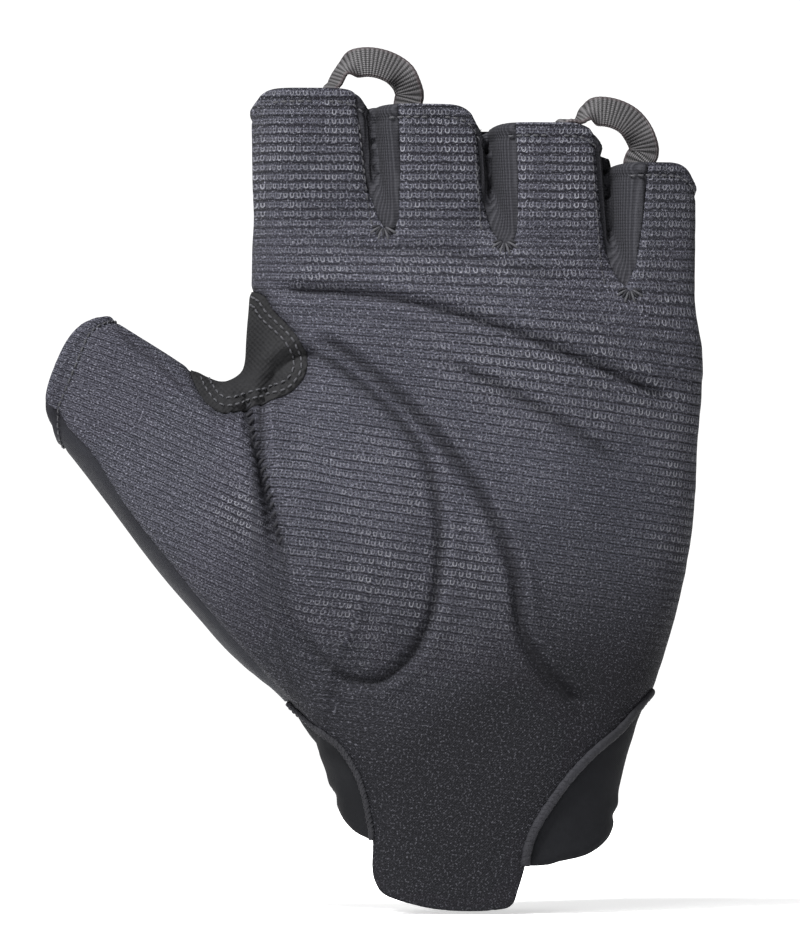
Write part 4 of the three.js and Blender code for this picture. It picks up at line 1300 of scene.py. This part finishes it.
def cloth_look(name, light, dark, thread, depth, rough, specular, pieces):
    """Plain fine cloth whose threads run both ways."""
    look = Looks(name)
    place = look.place()
    x, _, z = look.axes(place)
    weave = look.times(look.wave(x, thread / METRE), look.wave(z, thread / METRE))
    grain = look.noise(place, 1400.0, 3.0, 0.6)
    colour = look.blend(look.ramp(look.noise(place, 40.0, 3.0), 0.3, 0.7), dark, light)
    colour = look.blend(look.ramp(grain, 0.35, 0.7, 0.0, 0.5), colour, dark)
    height = look.plus(look.times(weave, 0.5), grain)
    look.finish(*pieces, Base_Color=colour, Normal=look.bump(height, depth), Roughness=rough,
                Specular_IOR_Level=specular)


def ribbed_look():
    """Fine ribs along the fourchettes, painted dark in their grooves as shade."""
    look = Looks("fourchette_rib")
    place = look.place()
    x, y, _ = look.axes(place)
    rib = look.wave(look.plus(y, look.times(x, -0.33)), 0.75 / METRE)
    row = look.wave(look.axes(look.courses())[1], 0.6)
    grain = look.noise(place, 1600.0, 3.0, 0.6)
    # Painted shade: the ribs are painted dark in their grooves and light on their tops
    colour = look.blend(look.ramp(rib, -0.8, 0.8), (0.0045, 0.0045, 0.006), (0.0115, 0.0115, 0.0138))
    colour = look.blend(look.ramp(grain, 0.35, 0.7, 0.0, 0.45), colour, (0.008, 0.008, 0.01))
    height = look.plus(rib, look.plus(look.times(row, 0.25), grain))
    look.finish(*[panels[name] for name in PANELS[5:]], Base_Color=colour, Normal=look.bump(height, 0.00012),
                Roughness=0.8, Specular_IOR_Level=0.12)


def webbing_look():
    """Webbing with ribs across it, painted light on their crests and dark between them as highlight and
    shade, and darker, warmer edges.
    """
    look = Looks("webbing")
    across, along, _ = look.axes(look.courses())
    rib = look.math("COSINE", look.times(along, 2 * math.pi / WEBBING_RIB))
    grain = look.noise(look.place(), 1800.0, 2.0, 0.6)
    edge = look.ramp(look.math("ABSOLUTE", across), 2.3, 3.0)
    # Painted highlight and shade: the ribs are painted light on their crests and dark between them
    colour = look.blend(look.ramp(rib, -0.9, 0.7), (0.004, 0.0038, 0.004), (0.032, 0.0305, 0.032))
    colour = look.blend(look.times(edge, 0.6), colour, (0.019, 0.0125, 0.0135))
    height = look.plus(look.times(look.wave(across, 0.42), 0.5), grain)
    look.finish(*webbings, Base_Color=colour, Normal=look.bump(height, 0.0001), Roughness=0.55,
                Specular_IOR_Level=0.25)


# Plain cloths: light and dark colour, thread and relief, roughness, shine, pieces
CLOTHS = [
    ("back_cloth", (0.0095, 0.01, 0.012), (0.0055, 0.0055, 0.007), 0.45, 0.00008, 0.75, 0.06,
     [panels["back_panel"], panels["thumb_back"]]),
    ("cuff_cloth", (0.0042, 0.0044, 0.0052), (0.0024, 0.0025, 0.003), 0.38, 0.00005, 0.85, 0.05,
     [panels["cuff"]]),
    ("suede", (0.009, 0.009, 0.0095), (0.0045, 0.0045, 0.0048), 1.1, 0.00012, 0.92, 0.04,
     [panels["crotch_patch"]]),
    ("binding_thread", (0.009, 0.009, 0.011), (0.0045, 0.0045, 0.0055), 0.3, 0.00006, 0.7, 0.1,
     [binding_right, binding_left, dart]),
    ("stitch_thread", (0.024, 0.024, 0.027), (0.011, 0.011, 0.013), 0.3, 0.00006, 0.6, 0.2, [threads]),
]
knit_look()
ribbed_look()
webbing_look()
for row in CLOTHS:
    cloth_look(*row)


# Stage, light and camera, in metres
FLOOR_SIZE = 1.6
FLOOR_GAP = 0.6
FLOOR_GLOW = 0.55
WORLD_LIGHT = 0.35
WORLD_SEEN = 1.1
MIDDLE = (-0.0152, 0.0, 0.0776)
DISTANCE = 2.6
FRAME_WIDTH = 0.164
SENSOR = 36

# Lights: name, place, size, power
LIGHTS = [
    ("key", (-0.45, -0.6, 1.15), 0.3, 80),
    ("front", (-0.5, -1.2, 0.3), 0.5, 14),
]

corner = FLOOR_SIZE / 2
floor_z = (PALM_LOW[2] - FLOOR_GAP) / METRE
floor_mesh = bpy.data.meshes.new("floor")
floor_mesh.from_pydata([(x * corner, y * corner, floor_z) for x, y in ((-1, -1), (1, -1), (1, 1), (-1, 1))],
                       [], [(0, 1, 2, 3)])
floor = bpy.data.objects.new("floor", floor_mesh)
bpy.context.scene.collection.objects.link(floor)
Looks("pale_floor").finish(floor, Base_Color=(0.93, 0.93, 0.93), Roughness=0.9, Specular_IOR_Level=0.1,
                           Emission_Color=(1, 1, 1), Emission_Strength=FLOOR_GLOW)

scene = bpy.context.scene
scene.view_settings.view_transform = "Standard"
world = bpy.data.worlds.new("studio")
scene.world = world
world.use_nodes = True
nodes, links = world.node_tree.nodes, world.node_tree.links
background = nodes["Background"]
background.inputs[0].default_value = (1, 1, 1, 1)
seen = nodes.new("ShaderNodeLightPath")
strength = nodes.new("ShaderNodeMapRange")
strength.inputs[3].default_value = WORLD_LIGHT
strength.inputs[4].default_value = WORLD_SEEN
links.new(seen.outputs["Is Camera Ray"], strength.inputs[0])
links.new(strength.outputs[0], background.inputs[1])

for name, place, size, power in LIGHTS:
    data = bpy.data.lights.new(name, "AREA")
    data.size = size
    data.energy = power
    light = bpy.data.objects.new(name, data)
    light.location = place
    light.rotation_euler = (Vector(MIDDLE) - Vector(place)).to_track_quat("-Z", "Y").to_euler()
    scene.collection.objects.link(light)

camera_data = bpy.data.cameras.new("camera")
camera_data.sensor_fit = "HORIZONTAL"
camera_data.sensor_width = SENSOR
camera_data.lens = SENSOR * DISTANCE / FRAME_WIDTH
camera_data.clip_start = 0.05
camera = bpy.data.objects.new("camera", camera_data)
camera.location = (MIDDLE[0], -DISTANCE, MIDDLE[2])
camera.rotation_euler = (math.pi / 2, 0, 0)
scene.collection.objects.link(camera)
scene.camera = camera
